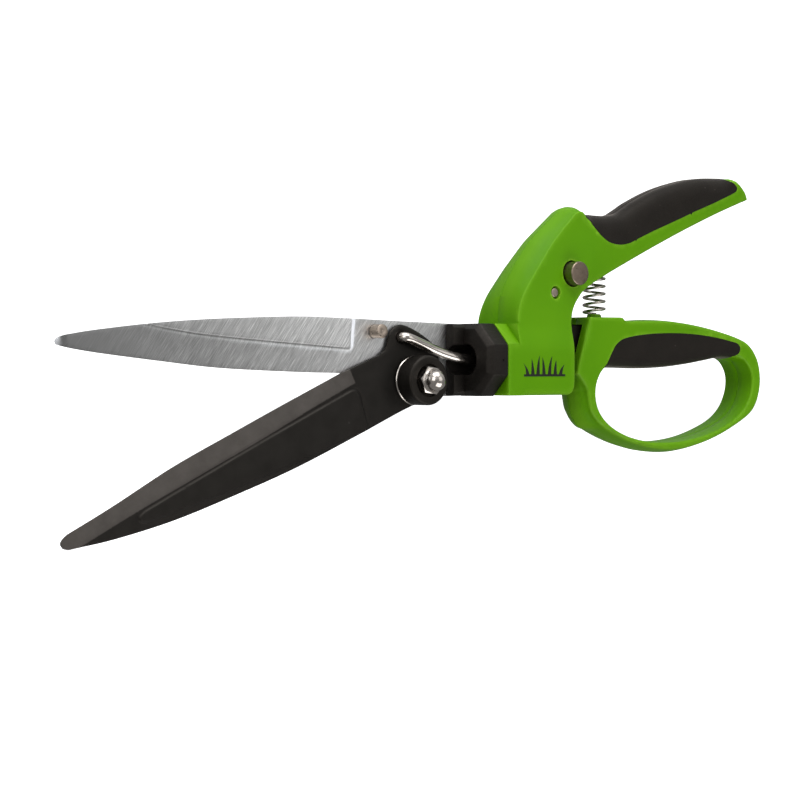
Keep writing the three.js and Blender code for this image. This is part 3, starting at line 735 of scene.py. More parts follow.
def build_mark(ink):
    """A small printed tuft of grass on the near cheek, in place of the maker's print."""
    near, far = -BODY_HALF - 0.02, -BODY_HALF + 0.12
    mark = side_prism([(8.4, -6.6), (31.0, -6.6), (31.0, -5.7), (8.4, -5.7)], near, far)
    blades = [(10.4, -2.4, 4.9), (13.2, -0.6, 6.8), (16.0, 0.9, 8.0), (19.2, -0.8, 7.4),
              (22.3, 1.5, 7.8), (25.4, 0.6, 6.2), (28.4, 2.2, 4.4)]
    for foot, lean, height in blades:
        blade = Outline((foot - 0.95, -6.2), 0.5)
        blade.bend((foot - 0.7, -6.2 + height * 0.6), (foot + lean, -6.2 + height))
        blade.bend((foot + 0.75, -6.2 + height * 0.5), (foot + 0.95, -6.2))
        blade.line((foot - 0.95, -6.2))
        combine(mark, side_prism(blade.loop(), near, far), "UNION")
    mark.name = "printed_grass_mark"
    mark.data.materials.append(ink)
    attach(mark, "body")


# ---- blades ----
def circle(centre, radius, step=0.6):
    count = max(24, int(2 * math.pi * radius / step))
    turns = -np.arange(count) * 2 * math.pi / count
    return np.stack([centre[0] + radius * np.cos(turns), centre[1] + radius * np.sin(turns)], 1)


def band(loop, offsets):
    """Rows of points that follow a feature line at set distances."""
    outward = normals_of(loop)
    return np.concatenate([loop + outward * offset for offset in offsets])


BLADE_EDGE = [(-183.7, 3.8), (-171.9, 2.1), (-147.5, -0.6), (-121.9, -3.1), (-88.3, -4.6)]


def fixed_outline():
    outline = Outline((-2.4, -11.0), 0.9)
    outline.line((-2.4, 11.0), (-9.9, 11.0), (-9.9, 14.3), (-37.8, 15.0))
    outline.curve((-67.2, 15.9), (-88.3, 16.1), (-121.9, 14.8), (-147.4, 13.0),
                  (-171.8, 10.3), (-184.6, 8.4))
    outline.step = 0.35
    outline.bend((-190.6, 7.0), (-188.6, 4.9))
    outline.step = 0.9
    outline.curve(*BLADE_EDGE, (-67.2, -5.1))
    outline.curve((-54.0, -9.0), (-44.0, -15.5), (-34.0, -18.2), (-24.0, -14.6))
    outline.line((-9.9, -14.3), (-9.9, -11.0), (-2.4, -11.0))
    return outline.loop()


def fixed_panel():
    """The recess along the back of the fixed blade, run out past the blade's top edge."""
    outline = Outline((-172.0, 14.2), 0.6)
    outline.curve((-157.5, 12.0), (-140.0, 9.3), (-126.5, 7.7), (-105.5, 6.1), (-86.0, 4.8),
                  (-63.4, 3.3))
    outline.bend((-61.2, 3.2), (-60.9, 5.4)).curve((-60.6, 10.0), (-60.1, 15.0), (-59.8, 26.0))
    outline.line((-172.0, 26.0), (-172.0, 14.2))
    return outline.loop()


def bell(distance, middle, width):
    """One at the middle, falling softly to nothing on both sides."""
    return np.exp(-((distance - middle) / width) ** 2)


def fixed_near(x, z):
    into = signed_depth(x, z, fixed_panel())
    fade = smooth((x + 168) / 22)
    groove = 0.22 * bell(into, 1.0, 0.45) * smooth((-62.5 - x) / 3)
    recess = (0.34 * smooth((into + 0.1) / 1.0) + groove) * fade
    tip = 0.75 * smooth((-183.6 - x) / 4.0)
    return FIXED_NEAR + recess + tip


def cutting_edge():
    """The room below the fixed blade's cutting edge."""
    outline = Outline((-190.0, 4.2), 1.0).curve(*BLADE_EDGE, (-64.0, -5.4))
    return outline.line((-64.0, -30.0), (-190.0, -30.0), (-190.0, 4.2)).loop()


def fixed_far(x, z):
    """The cutting edge is ground from the far side."""
    above = -signed_depth(x, z, cutting_edge())
    ground = np.clip(1 - above / 5.5, 0, 1) * smooth((-62 - x) / 3)
    return FIXED_FAR - 1.5 * ground


def small_edge(x, z):
    return 0 * x + 0.16, 0 * x + 0.16


def mark_points(piece, name, amount):
    """Stores amount(x, z), from nothing to one, at every point of a blade's near side."""
    mesh = piece.data
    spots = np.empty(len(mesh.vertices) * 3)
    mesh.vertices.foreach_get("co", spots)
    spots = (spots.reshape(-1, 3) - ORIGIN) / MM
    store = mesh.attributes.new(name, "FLOAT", "POINT")
    shares = amount(spots[:, 0], spots[:, 2]) * (spots[:, 1] < FIXED_FAR - 1.0)
    store.data.foreach_set("value", shares.astype(np.float32))


def build_fixed_blade(steel):
    holes = [circle(BLADE_BOLT, BOLT_HOLE), circle(STOP_PIN, 2.3)]
    holes += [circle(spot, RIVET_HOLE) for spot in RIVETS.values()]
    rows = band(fixed_panel(), [0.2, 0.0, -0.25, -0.5, -0.75, -1.0, -1.25, -1.5, -1.9])
    blade = moulded([fixed_outline()] + holes, fixed_near, fixed_far, small_edge, steel,
                    grid=1.3, extra=rows)

    # Painted shade: a dark line just inside the panel's lower border.
    def groove(x, z):
        into = signed_depth(x, z, fixed_panel())
        return bell(into, 0.9, 0.42) * smooth((-60.9 - x) / 1.5) * smooth((x + 168) / 30)

    # Painted highlight: a white band on the panel's end step, a faint light line just outside its
    # lower border, and a pale tip.
    def bright(x, z):
        into = signed_depth(x, z, fixed_panel())
        step = bell(into, 0.4, 0.55) * smooth((x + 62.6) / 0.9) * smooth((z - 2) / 5)
        lip = 0.3 * bell(into, -0.15, 0.35) * smooth((x + 135) / 60)
        return np.maximum(np.minimum(1, step * 1.5), np.maximum(
            lip * (x < -61), 0.55 * smooth((-186.4 - x) / 2)))

    def panel(x, z):
        return smooth(signed_depth(x, z, fixed_panel()) + 0.5)

    mark_points(blade, "groove", groove)
    mark_points(blade, "bright", bright)
    mark_points(blade, "panel", panel)
    finish_piece(blade, "head", "fixed_blade")


def moving_outline():
    outline = Outline((-187.6, -64.2), 0.35)
    outline.bend((-189.2, -62.6), (-185.3, -60.0))
    outline.step = 0.9
    outline.curve((-167.5, -51.3), (-142.9, -38.5), (-117.1, -26.9), (-90.2, -15.0),
                  (-62.0, -2.8)).line((-49.6, 1.7))
    outline.step = 0.5
    outline.curve((-46.2, 4.6), (-44.6, 9.6), (-42.3, 12.4), (-38.7, 13.6), (-33.6, 12.4),
                  (-26.9, 9.3), (-21.7, 5.6), (-19.3, 0.6))
    outline.curve((-19.3, -6.0), (-21.8, -12.4), (-26.6, -16.6), (-32.8, -17.8))
    outline.step = 0.9
    outline.curve((-39.4, -20.3), (-49.3, -24.4), (-62.0, -29.7), (-90.2, -40.7),
                  (-117.2, -49.6), (-142.9, -57.3), (-167.6, -62.7), (-185.2, -65.2))
    outline.step = 0.35
    outline.bend((-187.0, -65.3), (-187.6, -64.2))
    return outline.loop()


def ground_strip():
    """The ground cutting face along the moving blade, run out past its edge."""
    outline = Outline((-196.0, -71.6), 0.8)
    outline.line((-180.2, -64.1)).curve((-157.6, -53.2), (-136.9, -43.8), (-105.1, -29.5),
                                        (-78.3, -16.6), (-61.3, -8.9))
    outline.line((-64.0, -3.4), (-68.0, 9.0), (-110.0, -8.0), (-200.0, -50.0), (-196.0, -71.6))
    return outline.loop()


def moving_panel():
    outline = Outline((-157.0, -56.6), 0.7)
    outline.bend((-158.4, -55.2), (-154.9, -53.2))
    outline.curve((-136.9, -44.8), (-104.3, -29.9), (-64.0, -12.0))
    outline.bend((-60.4, -10.6), (-59.2, -13.6)).curve((-56.8, -21.0), (-55.3, -25.0))
    outline.bend((-54.8, -27.4), (-58.0, -27.6))
    outline.curve((-87.9, -38.0), (-129.8, -50.7), (-154.0, -57.2))
    outline.bend((-156.2, -57.6), (-157.0, -56.6))
    return outline.loop()


def moving_near(x, z):
    strip = signed_depth(x, z, ground_strip())
    panel = signed_depth(x, z, moving_panel())
    face = MOVING_NEAR + 0.55 - 0.5 * smooth((panel + 0.2) / 0.7)
    face += 0.2 * bell(panel, -0.6, 0.4) * smooth((-54.6 - x) / 2)
    ground = MOVING_NEAR + 0.32 + 0.25 * np.maximum(strip, 0)
    return np.where(strip > 0, np.maximum(face, ground), face)


def moving_edge(x, z):
    """A soft lip round the ear and a light break along the back edge."""
    ear = smooth((x + 49.5) / 3) * smooth((z + 1.5) / 4)
    cutting = signed_depth(x, z, ground_strip()) > 0
    inset = np.where(cutting, 0.12, 0.45) + 0.75 * ear
    return inset, inset * 0.8


def build_moving_blade(coated):
    rows = np.concatenate([
        band(ground_strip(), [0.12, -0.05, -0.3]),
        band(moving_panel(), [1.3, 1.0, 0.7, 0.4, 0.2, 0.0, -0.2, -0.4, -0.6, -1.0])])
    holes = [circle(BLADE_BOLT, BOLT_HOLE), circle(EAR_HOLE, EAR_RADIUS)]
    blade = moulded([moving_outline()] + holes, moving_near, lambda x, z: 0 * x + MOVING_FAR,
                    moving_edge, coated, grid=1.2, extra=rows)
    mark_points(blade, "ground", lambda x, z: smooth(
        (signed_depth(x, z, ground_strip()) + 0.08) / 0.2))
    finish_piece(blade, "cutter", "moving_blade")


# ---- swivelling head ----
def octagon(across):
    half = across / 2
    short = half * math.tan(math.pi / 8)
    return [(half, -short), (half, short), (short, half), (-short, half), (-half, short),
            (-half, -short), (-short, -half), (short, -half)]


def soften(piece, width):
    """Rounds a plain tool's sharp edges before it is combined with others."""
    modifier = piece.modifiers.new("soften", "BEVEL")
    modifier.width = width * MM
    modifier.segments = 3
    modifier.limit_method = "ANGLE"
    modifier.angle_limit = math.radians(30)
    piece.data = apply_modifiers(piece)
    return piece


def octagon_block():
    """The collar block: an octagon with its front edge chamfered all round."""
    rings = [(0.0, COLLAR_ACROSS), (COLLAR_FRONT + COLLAR_CHAMFER, COLLAR_ACROSS),
             (COLLAR_FRONT, COLLAR_ACROSS - 2 * COLLAR_CHAMFER)]
    spots = [(x, y, z) for x, across in rings for y, z in octagon(across)]
    faces = [tuple(range(8)), tuple(range(23, 15, -1))]
    for ring in (0, 8):
        faces += [(ring + i, ring + i + 8, ring + (i + 1) % 8 + 8, ring + (i + 1) % 8)
                  for i in range(8)]
    return make_piece(spots, faces)


def build_collar(plastic):
    head = soften(octagon_block(), 0.38)
    top = 14.2
    web = [(1.3, -top + 1.4), (2.7, -top), (6.2, -top), (6.2, top), (2.7, top), (1.3, top - 1.4)]
    combine(head, soften(end_prism(web, -14.6, COLLAR_FRONT + 3), 0.3), "UNION")
    combine(head, cylinder(8.2, -1, 12.4, "x", (0, 0)), "UNION")
    tang = [(-20, -11.3), (-2.1, -11.3), (-2.1, 11.3), (-20, 11.3)]
    mouth = turned(rounded([(0, -20), (BORE_RADIUS + 0.5, -20),
                            (BORE_RADIUS + 0.5, COLLAR_FRONT - 0.3),
                            (BORE_RADIUS, COLLAR_FRONT + 0.4),
                            (BORE_RADIUS, -1.6), (0, -1.6)], 0.2), "x", (0, 0))
    near_half = side_prism([(-30, -30), (10, -30), (10, 30), (-30, 30)], -20, 1.2)
    ring_groove = turned([(7.1, 9.0), (12, 9.0), (12, 10.4), (7.1, 10.4)], "x", (0, 0))
    ball_track = turned([(10.6, -0.9), (13.2, -0.9), (13.2, 1), (10.6, 1)], "x", (0, 0))
    cut(head, side_prism(tang, 6.2, 9.1),
        cylinder(BORE_RADIUS, -20, -1.6, "x", (0, 0)),
        combine(mouth, near_half, "INTERSECT"),
        cylinder(4.6, -20, 20, "x", (0, 0)), ring_groove, ball_track)
    for spot in RIVETS.values():
        slab = side_prism([(-14.7, -20), (-9.4, -20), (-9.4, 20), (-14.7, 20)], 0, 6.5)
        cut(head, combine(cylinder(RIVET_HOLE, 2.6, 20, "y", spot, 32), slab, "INTERSECT"))
    dimple = rounded([(0, -14.6), (0.62, -14.6), (0.45, -13.9), (0, -13.8)], 0.1)
    cut(head, turned(dimple, "y", (-2.6, -0.2), None, 24))
    head.data.materials.append(plastic)
    finish_piece(head, "head", "head_collar")


def build_stop_pin(metal):
    profile = rounded([(0, 1.25), (0.5, 1.32), (1.1, 1.22), (1.9, 1.22), (2.68, 1.4),
                       (2.7, 6.3), (2.0, 6.3), (2.0, 9.1), (2.9, 9.1), (2.6, 10.0), (0, 10.0)],
                      0.22)
    finish_turned(profile, "y", STOP_PIN, metal, 96, "head", "stop_pin")


def build_rivets(metal):
    profile = rounded([(0, 2.9), (1.6, 2.9), (1.6, 9.1), (2.6, 9.1), (2.35, 9.8), (1.4, 10.3),
                       (0, 10.4)], 0.25)
    for node, spot in RIVETS.items():
        finish_turned(profile, "y", spot, metal, 48, "head", node)


def hexagon(across, near, far, turn=0):
    corners = [on_circle(BLADE_BOLT, across / math.sqrt(3), 60 * i + turn) for i in range(6)]
    return side_prism(corners, near, far)


def build_pivot_cap(bright, plastic, spring_metal):
    """The plastic cap on the blade pivot, with the washer under it and the spring inside."""
    cap = rounded([(BOLT_HOLE, -4.0), (6.3, -4.0), (6.3, -5.4), (8.9, -5.4), (9.6, -4.8),
                   (9.6, 2.7), (8.0, 2.7), (8.0, -2.2), (BOLT_HOLE, -2.2)], 0.3)
    ring = rounded([(BOLT_HOLE, 2.95), (9.2, 2.95), (9.6, 3.3), (9.65, 3.7), (BOLT_HOLE, 3.7)],
                   0.2)
    cone = [(BOLT_HOLE, -1.6), (3.7, -1.9), (7.6, 1.8), (7.6, 2.6), (6.6, 2.6),
            (BOLT_HOLE, -0.6)]
    finish_turned(cap, "y", BLADE_BOLT, plastic, 144, "head", "pivot_cap")
    finish_turned(ring, "y", BLADE_BOLT, bright, 144, "head", "pivot_washer")
    finish_turned(cone, "y", BLADE_BOLT, spring_metal, 72, "head", "disc_spring")


def build_pivot_bolt(metal):
    """The domed cap nut in front, and the bolt with its hexagon head behind."""
    nut = hexagon(10.0, -7.6, -4.6, -8)
    corner = [(0, -7.6), (4.75, -7.6), (5.9, -6.95), (5.9, -4.5), (0, -4.5)]
    combine(nut, turned(corner, "y", BLADE_BOLT), "INTERSECT")
    dome = [(0, -13.0)] + [(4.05 * math.cos(a), -9.1 - 3.9 * math.sin(a))
                           for a in np.radians(np.arange(84, -1, -6))]
    dome += [(4.1, -8.6), (4.25, -7.9), (4.5, -7.55), (4.5, -7.1), (0, -7.1)]
    combine(nut, turned(dome, "y", BLADE_BOLT), "UNION")
    cut(nut, cylinder(BOLT_HOLE, -9.7, 0, "y", BLADE_BOLT))
    bolt = hexagon(10.0, 9.1, 12.6, 12)
    corner = [(0, 9.0), (5.9, 9.0), (5.9, 12.0), (4.8, 12.6), (0, 12.6)]
    combine(bolt, turned(corner, "y", BLADE_BOLT), "INTERSECT")
    shank = rounded([(0, -9.4), (3.0, -9.4), (3.0, 9.4), (0, 9.4)], 0.4)
    combine(bolt, turned(shank, "y", BLADE_BOLT, None, 64), "UNION")
    for piece, node in ((nut, "cap_nut"), (bolt, "pivot_bolt")):
        piece.data.materials.append(metal)
        finish_piece(piece, "head", node)


def build_pull_rod(bright, plastic):
    x, z = EAR_HOLE
    path = spline_path([(x, 6.0, z), (x, 5.2, z), (x + 0.05, 4.2, z), (x + 0.35, 3.0, z - 0.1),
                        (x + 1.4, 2.1, z - 0.35), (-35.2, 1.9, 7.7), (-31.0, 1.9, 6.2),
                        (-24.6, 1.7, 3.9), (-18.6, 1.1, 2.0), (-12.5, 0.4, 0.7),
                        (-6.0, 0, 0.1), (2.0, 0, 0), (18.0, 0, 0), (34.2, 0, 0)], 0.4)
    rod = swept(path, ROD_RADIUS, bright, 36, 0.4)
    combine(rod, cylinder(1.55, 3.6, 6.2, "y", EAR_HOLE, 48), "UNION")
    head = rounded([(0, 34.1), (3.0, 34.1), (3.0, 35.5), (0, 35.5)], 0.3)
    combine(rod, turned(head, "x", (0, 0), None, 48), "UNION")
    finish_piece(rod, "rod", "pull_rod")
    bush = rounded([(2.3, -4.8), (5.0, -4.8), (5.0, -3.3), (3.0, -3.3), (3.0, 3.3), (5.0, 3.3),
                    (5.0, 4.8), (2.3, 4.8)], 0.25)
    bush = [(radius, along + HANDLE_PIN[0]) for radius, along in bush]
    finish_turned(bush, "x", (0, 0), plastic, 64, "rod", "rod_swivel_bush")


# ---- pins and springs of the body ----
def build_pins(metal, button_metal):
    pin = rounded([(0, -10.66), (1.65, -10.66), (1.9, -10.4), (1.9, -7.4), (PIN_RADIUS, -7.2),
                   (PIN_RADIUS, 11.0), (2.0, 11.2), (0, 11.2)], 0.2)
    finish_turned(pin, "y", HANDLE_PIN, metal, 96, "body", "handle_pivot_pin")
    button = rounded([(0, -15.18), (4.5, -15.18), (BUTTON_RADIUS, -14.86),
                      (BUTTON_RADIUS, -7.2), (STEM_RADIUS, -7.2), (STEM_RADIUS, 3.2),
                      (1.5, 3.2), (1.5, 3.9), (STEM_RADIUS, 3.9), (STEM_RADIUS, 9.9),
                      (1.6, 10.2), (0, 10.2)], 0.18)
    finish_turned(button, "y", LOCK_AXIS, button_metal, 128, "lock", "lock_button")


def build_return_spring(metal):
    """Compression spring between the two handles, its end turns closed up flat."""
    turns, low, high = 7.7, 18.9, 43.1
    path = []
    for i in range(int(turns * 40) + 1):
        turn = i / 40
        closed = max(0.0, 0.7 - turn) * 0.55 - max(0.0, 0.7 - (turns - turn)) * 0.55
        along = low + (high - low) * turn / turns + closed * 1.1
        angle = 2 * math.pi * turn + 0.6
        path.append((SPRING_AXIS[0] + 4.35 * math.cos(angle), 4.35 * math.sin(angle), along))
    spring = swept(path, 0.56, metal, 14, 0.5)
    finish_piece(spring, "body", "return_spring")
    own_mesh(spring)


# ---- materials ----
WARM = (1.0, 0.90, 0.80, 1.0)


def add_node(tree, kind, inputs, **settings):
    """A shader node. Each input is a constant, or the output of another node."""
    node = tree.nodes.new("ShaderNode" + kind)
    for setting, value in settings.items():
        setattr(node, setting, value)
    for socket, value in inputs.items():
        if isinstance(value, bpy.types.NodeSocket):
            tree.links.new(value, node.inputs[socket])
        else:
            node.inputs[socket].default_value = value
    return node


class Recipe:
    """A procedural material under construction. Texture sizes are in millimetres."""

    def __init__(self, name, metallic=0.0, **constants):
        self.material = bpy.data.materials.new(name)
        self.material.use_nodes = True
        self.tree = self.material.node_tree
        self.shader = self.tree.nodes["Principled BSDF"]
        self.shader.inputs["Metallic"].default_value = metallic
        for socket, value in constants.items():
            self.shader.inputs[socket.replace("_", " ")].default_value = value
        self.place = self.stretched(self.add("TexCoord", {}).outputs["Object"], (1 / MM,) * 3)

    def add(self, kind, inputs, **settings):
        return add_node(self.tree, kind, inputs, **settings)

    def stretched(self, vector, scale, turn=0.0):
        turned = (0, math.radians(turn), 0)
        node = self.add("Mapping", {"Vector": vector, "Scale": scale, "Rotation": turned})
        return node.outputs["Vector"]

    def noise(self, size, detail=2.0, roughness=0.5, vector=None):
        return self.add("TexNoise", {"Vector": vector or self.place, "Scale": 1 / size,
                                     "Detail": detail, "Roughness": roughness}).outputs["Fac"]

    def specks(self, size, share):
        """Small round specks on a share of the cells of the given size."""
        cells = self.add("TexVoronoi", {"Vector": self.place, "Scale": 1 / size})
        draw = self.add("SeparateColor", {"Color": cells.outputs["Color"]}).outputs["Red"]
        chosen = self.spread(draw, (share, 1.0), (share + 0.01, 0.0))
        near_middle = self.spread(cells.outputs["Distance"], (0.10, 1.0), (0.22, 0.0))
        return self.maths("MULTIPLY", chosen, near_middle)

    def maths(self, operation, a, b):
        return self.add("Math", {0: a, 1: b}, operation=operation).outputs[0]

    def ramp(self, value, *stops):
        """A colour for the value, from stops of [value, colour]."""
        node = self.add("ValToRGB", {"Fac": value})
        elements = node.color_ramp.elements
        while len(elements) < len(stops):
            elements.new(1.0)
        for element, (place, colour) in zip(elements, stops):
            element.position = place
            element.color = (*colour, 1)
        return node.outputs["Color"]

    def tones(self, cloud, dark, light):
        return self.ramp(cloud, (0.3, dark), (0.7, light))

    def gloss(self, cloud, low, high):
        return self.spread(cloud, (0.3, low), (0.7, high))

    def spread(self, value, low, high):
        """Maps the value in a straight line through low and high, each [value, result]."""
        node = self.add("MapRange", {"Value": value, "From Min": low[0], "From Max": high[0],
                                     "To Min": low[1], "To Max": high[1]})
        return node.outputs["Result"]

    def mixed(self, share, a, b):
        node = self.add("Mix", {"Factor": share}, data_type="RGBA")
        colours = [socket for socket in node.inputs if socket.type == "RGBA"]
        for socket, colour in zip(colours, (a, b)):
            if isinstance(colour, tuple):
                socket.default_value = (*colour, 1)
            else:
                self.tree.links.new(colour, socket)
        return [socket for socket in node.outputs if socket.type == "RGBA"][0]

    def scaled(self, colour, share):
        node = self.add("VectorMath", {0: colour, "Scale": share}, operation="SCALE")
        return node.outputs["Vector"]

    def edges(self, most):
        """A painted highlight share: nothing on flat faces, rising to the given share on convex
        edges.
        """
        shape = self.add("NewGeometry", {})
        return self.spread(shape.outputs["Pointiness"], (0.505, 0.0), (0.56, most))

    def stored(self, name):
        """A share that mark_points stored on the piece."""
        return self.add("Attribute", {}, attribute_name=name).outputs["Fac"]

    def finish(self, colour, roughness, height=None, depth=0.02, strength=1.0):
        """Joins colour, roughness and a relief of the given depth in millimetres."""
        joined = {"Base Color": colour, "Roughness": roughness}
        if height is not None:
            bump = self.add("Bump", {"Strength": strength, "Distance": depth * MM,
                                     "Height": height})
            joined["Normal"] = bump.outputs["Normal"]
        for socket, output in joined.items():
            self.tree.links.new(output, self.shader.inputs[socket])
        return self.material


def green_plastic():
    recipe = Recipe("green moulded plastic", Specular_IOR_Level=0.11)
    cloud = recipe.noise(26, 2)
    grain = recipe.noise(0.45, 3, 0.6)
    colour = recipe.tones(cloud, (0.088, 0.270, 0.0003), (0.101, 0.292, 0.0007))
    # Painted highlight: convex edges are painted a lighter green.
    colour = recipe.mixed(recipe.edges(0.50), colour, (0.25, 0.52, 0.03))
    roughness = recipe.gloss(recipe.noise(1.6, 3), 0.36, 0.48)
    return recipe.finish(colour, roughness, grain, 0.010)


def soft_grip():
    recipe = Recipe("black soft grip", Specular_IOR_Level=0.2, Specular_Tint=WARM,
                    Sheen_Weight=0.5, Sheen_Roughness=0.3, Sheen_Tint=WARM)
    stipple = recipe.noise(0.5, 3, 0.65)
    cloud = recipe.noise(9, 3)
    base = recipe.tones(cloud, (0.0050, 0.0040, 0.0031), (0.0080, 0.0066, 0.0052))
    colour = recipe.mixed(recipe.specks(1.5, 0.022), base, (0.045, 0.040, 0.036))
    roughness = recipe.spread(stipple, (0.35, 0.50), (0.65, 0.66))
    return recipe.finish(colour, roughness, stipple, 0.045)


def black_plastic():
    recipe = Recipe("black textured plastic", Specular_IOR_Level=0.26, Specular_Tint=WARM)
    grain = recipe.noise(0.34, 4, 0.7)
    drag = recipe.noise(1.0, 3, 0.5, recipe.stretched(recipe.place, (0.25, 0.9, 1.4)))
    cloud = recipe.noise(5, 3)
    colour = recipe.tones(cloud, (0.0040, 0.0034, 0.0028), (0.0078, 0.0068, 0.0058))
    roughness = recipe.gloss(drag, 0.42, 0.62)
    return recipe.finish(colour, roughness, recipe.maths("ADD", grain, drag), 0.035)


def blade_steel():
    """Ground steel: slanting grind lines, painted shade along the panel's lower border, and
    painted highlights at its end step, its border and the tip.
    """
    recipe = Recipe("ground blade steel", 1.0)
    slanted = recipe.stretched(recipe.place, (1, 1, 1), -36)
    fine = recipe.noise(1, 4, 0.6, recipe.stretched(slanted, (4.6, 0.3, 0.15)))
    broad = recipe.noise(1, 2, 0.5, recipe.stretched(slanted, (0.7, 0.2, 0.05)))
    lines = recipe.maths("ADD", recipe.maths("MULTIPLY", fine, 0.82),
                         recipe.maths("MULTIPLY", broad, 0.18))
    along = recipe.add("SeparateXYZ", {"Vector": recipe.place}).outputs["X"]
    calm = recipe.spread(along, (-160, 0.25), (-118, 1.0))
    shown = recipe.maths("ADD", 0.5, recipe.maths(
        "MULTIPLY", recipe.maths("SUBTRACT", lines, 0.5), calm))
    metal = recipe.ramp(shown, (0.34, (0.215, 0.215, 0.212)), (0.5, (0.34, 0.34, 0.337)),
                        (0.66, (0.55, 0.55, 0.545)))
    # Painted light: the steel is painted darker towards the tip, lighter towards the pivot, and
    # lighter on the recessed panel.
    length = recipe.maths("ADD", recipe.spread(along, (-188, 0.52), (-110, 1.0)),
                          recipe.spread(along, (-110, 0.0), (-40, 0.75)))
    light = recipe.maths("MULTIPLY", length, recipe.spread(recipe.stored("panel"),
                                                           (0, 0.95), (1, 1.22)))
    metal = recipe.scaled(metal, light)
    # Painted shade: the groove share darkens the steel along the panel's lower border.
    painted_groove_shade = recipe.mixed(recipe.maths("MULTIPLY", recipe.stored("groove"), 0.75), metal,
                          (0.10, 0.10, 0.095))
    # Painted highlight: the bright share turns the steel into a pale non-metal with a little less
    # roughness.
    colour = recipe.mixed(recipe.stored("bright"), painted_groove_shade, (0.86, 0.88, 0.92))
    roughness = recipe.maths("SUBTRACT", recipe.gloss(fine, 0.34, 0.5),
                             recipe.maths("MULTIPLY", recipe.stored("bright"), 0.05))
    recipe.tree.links.new(recipe.maths("SUBTRACT", 1.0, recipe.stored("bright")),
                          recipe.shader.inputs["Metallic"])
    return recipe.finish(colour, roughness, shown, 0.014, 0.7)


def coated_blade():
    """Black satin non-stick coat, with the ground cutting face showing a browner steel."""
    recipe = Recipe("black coated blade", 0.0, Specular_IOR_Level=0.24, Specular_Tint=WARM)
    mottle = recipe.noise(7, 4, 0.6)
    grain = recipe.noise(0.5, 3, 0.6)
    coat = recipe.tones(mottle, (0.0050, 0.0047, 0.0042), (0.0095, 0.0089, 0.0080))
    coat = recipe.mixed(recipe.specks(4.5, 0.06), coat, (0.06, 0.058, 0.055))
    face = recipe.tones(mottle, (0.050, 0.045, 0.041), (0.070, 0.063, 0.058))
    colour = recipe.mixed(recipe.stored("ground"), coat, face)
    roughness = recipe.gloss(mottle, 0.40, 0.52)
    return recipe.finish(colour, roughness, grain, 0.012)


def plated_metal(name, colour, low, high, wear=0.6):
    """Bright plating with faint drawing marks and small dull patches."""
    recipe = Recipe(name, 1.0)
    marks = recipe.noise(wear, 4, 0.6)
    shades = [tuple(channel * share for channel in colour) for share in (0.82, 1.0)]
    tint = recipe.ramp(marks, (0.3, shades[0]), (0.65, shades[1]))
    roughness = recipe.gloss(recipe.noise(wear * 2, 3), low, high)
    return recipe.finish(tint, roughness, marks, 0.006, 0.7)


def printed_ink():
    recipe = Recipe("printed black ink", Specular_IOR_Level=0.3)
    grain = recipe.noise(0.4, 3)
    colour = recipe.tones(grain, (0.006, 0.008, 0.004), (0.012, 0.015, 0.008))
    return recipe.finish(colour, recipe.gloss(grain, 0.5, 0.65))


# ---- CAD nodes that stay as they are, inside the body ----
def dress_hidden_nodes(finishes):
    for node, material in finishes.items():
        cad = frame["nodes"][node]
        cad.data.materials.clear()
        cad.data.materials.append(material)


# ---- studio ----
def soft_light(name, spot, aim, width, height, power):
    light = bpy.data.lights.new(name, "AREA")
    light.shape = "RECTANGLE"
    light.size = width
    light.size_y = height
    light.energy = power
    lamp = bpy.data.objects.new(name, light)
    bpy.context.scene.collection.objects.link(lamp)
    lamp.location = spot
    lamp.rotation_euler = (Vector(aim) - Vector(spot)).to_track_quat("-Z", "Y").to_euler()


def plain_surface(name, glow):
    recipe = Recipe(name, Emission_Strength=glow, Specular_IOR_Level=0.0)
    recipe.shader.inputs["Emission Color"].default_value = (1, 1, 1, 1)
    cloud = recipe.noise(400, 1)
    tint = recipe.tones(cloud, (0.792,) * 3, (0.8,) * 3)
    return recipe.finish(tint, recipe.gloss(cloud, 0.85, 0.9))


def ring_mesh(name, rings, turns=96):
    spots = [(radius * math.cos(2 * math.pi * i / turns),
              radius * math.sin(2 * math.pi * i / turns), height)
             for radius, height in rings for i in range(turns)]
    faces = [(low * turns + i, low * turns + (i + 1) % turns,
              (low + 1) * turns + (i + 1) % turns, (low + 1) * turns + i)
             for low in range(len(rings) - 1) for i in range(turns)]
    mesh = bpy.data.meshes.new(name)
    mesh.from_pydata(spots, [], faces)
    piece = bpy.data.objects.new(name, mesh)
    bpy.context.scene.collection.objects.link(piece)
    return piece


def shade_world(tree):
    """A tent of light: bright overhead, dimmer round the sides and below."""
    place = add_node(tree, "TexCoord", {}).outputs["Generated"]
    height = add_node(tree, "SeparateXYZ", {"Vector": place}).outputs["Z"]
    ramp = add_node(tree, "ValToRGB", {"Fac": height})
    low, high = ramp.color_ramp.elements
    low.position, low.color = 0.0, (0.24, 0.24, 0.24, 1)
    high.position, high.color = 0.8, (0.60, 0.61, 0.62, 1)
    background = tree.nodes["Background"]
    background.inputs["Strength"].default_value = 1.0
    tree.links.new(ramp.outputs["Color"], background.inputs["Color"])


def stage_surface(name, rings, material_name, glow):
    """A pale glowing surface that the camera sees, and that lights and shades nothing."""
    surface = ring_mesh(name, rings)
    surface.data.materials.append(plain_surface(material_name, glow))
    surface.visible_diffuse = False
    surface.visible_glossy = False
    surface.visible_shadow = False


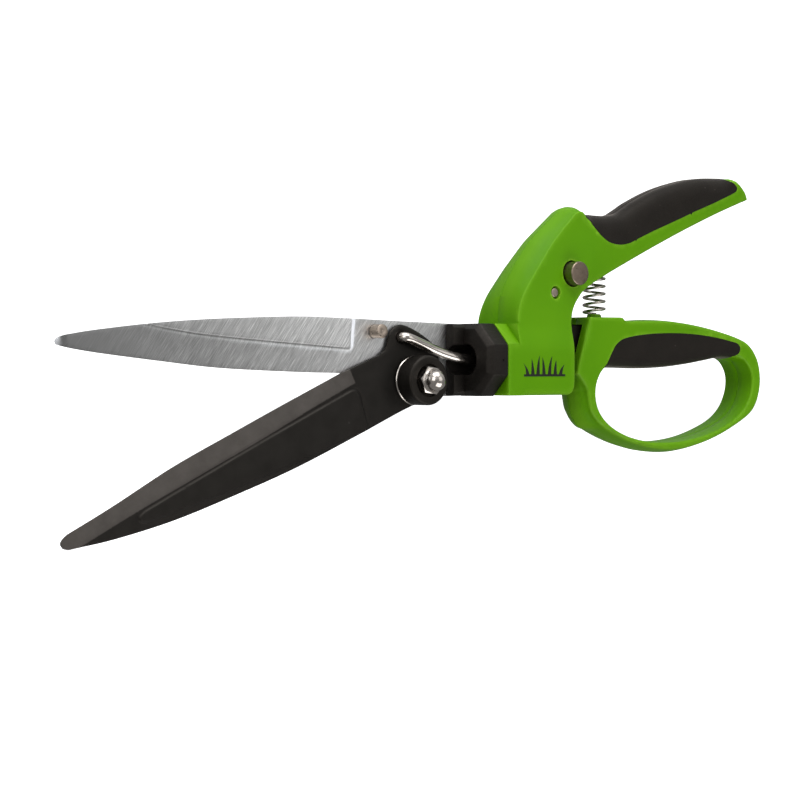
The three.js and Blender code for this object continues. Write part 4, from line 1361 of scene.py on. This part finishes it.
def build_studio():
    reach = 3.2
    floor_height = cad_box[0][2] - 0.0002
    stage_surface("studio_floor", [(reach, floor_height), (1e-5, floor_height)], "pale floor",
                  0.75)
    stage_surface("studio_backdrop", [(reach, floor_height - 0.01), (reach, 4.5)],
                  "white backdrop", 1.2)
    scene = bpy.context.scene
    scene.world = bpy.data.worlds.new("studio")
    scene.world.use_nodes = True
    shade_world(scene.world.node_tree)
    soft_light("overhead", (-0.15, -0.35, 1.15), (0, 0, 0), 1.2, 1.0, 13)
    soft_light("front left", (-1.15, -0.65, 0.45), (0, 0, 0), 0.8, 1.0, 4.6)
    soft_light("front right", (0.45, -1.25, 0.35), (0.03, 0, 0), 0.9, 0.9, 2.4)
    soft_light("low fill", (0.15, -0.7, -0.75), (0.08, 0, 0), 1.0, 0.6, 5.5)
    scene.view_settings.view_transform = "Standard"


def build_camera():
    """The photograph's view: from the front left, nearly level, through a long lens."""
    azimuth, elevation = math.radians(-39.3), math.radians(1.0)
    data = bpy.data.cameras.new("camera")
    data.lens = 90
    data.clip_start = 0.05
    data.clip_end = 20
    camera = bpy.data.objects.new("camera", data)
    bpy.context.scene.collection.objects.link(camera)
    spot = Vector(np.array([-529.73, -594.50, -2.07]) * MM + ORIGIN)
    look = Vector((-math.sin(azimuth), math.cos(azimuth), -math.tan(elevation)))
    camera.location = spot
    camera.rotation_euler = look.to_track_quat("-Z", "Y").to_euler()
    bpy.context.scene.camera = camera


def build():
    green, rubber, black = green_plastic(), soft_grip(), black_plastic()
    steel, coated = blade_steel(), coated_blade()
    bright = plated_metal("bright plating", (0.64, 0.59, 0.54), 0.12, 0.26)
    pin_metal = plated_metal("turned pin steel", (0.47, 0.39, 0.32), 0.24, 0.40, 1.1)
    button_metal = plated_metal("worn button steel", (0.30, 0.235, 0.18), 0.26, 0.42, 1.1)
    wire = plated_metal("spring wire", (0.46, 0.42, 0.37), 0.14, 0.28, 0.5)
    build_upper_handle(green, rubber)
    build_lower_handle(green, rubber)
    build_lever_arm(black)
    build_mark(printed_ink())
    build_fixed_blade(steel)
    build_moving_blade(coated)
    build_collar(black)
    build_stop_pin(pin_metal)
    build_rivets(pin_metal)
    build_pivot_cap(bright, black, wire)
    build_pivot_bolt(bright)
    build_pull_rod(bright, black)
    build_pins(pin_metal, button_metal)
    build_return_spring(wire)
    dress_hidden_nodes({"pivot_pin_clip": wire, "detent_ball": pin_metal, "detent_spring": wire,
                        "lock_button_clip": wire, "swivel_washer": bright,
                        "neck_retaining_ring": wire})
    build_studio()
    build_camera()


build()
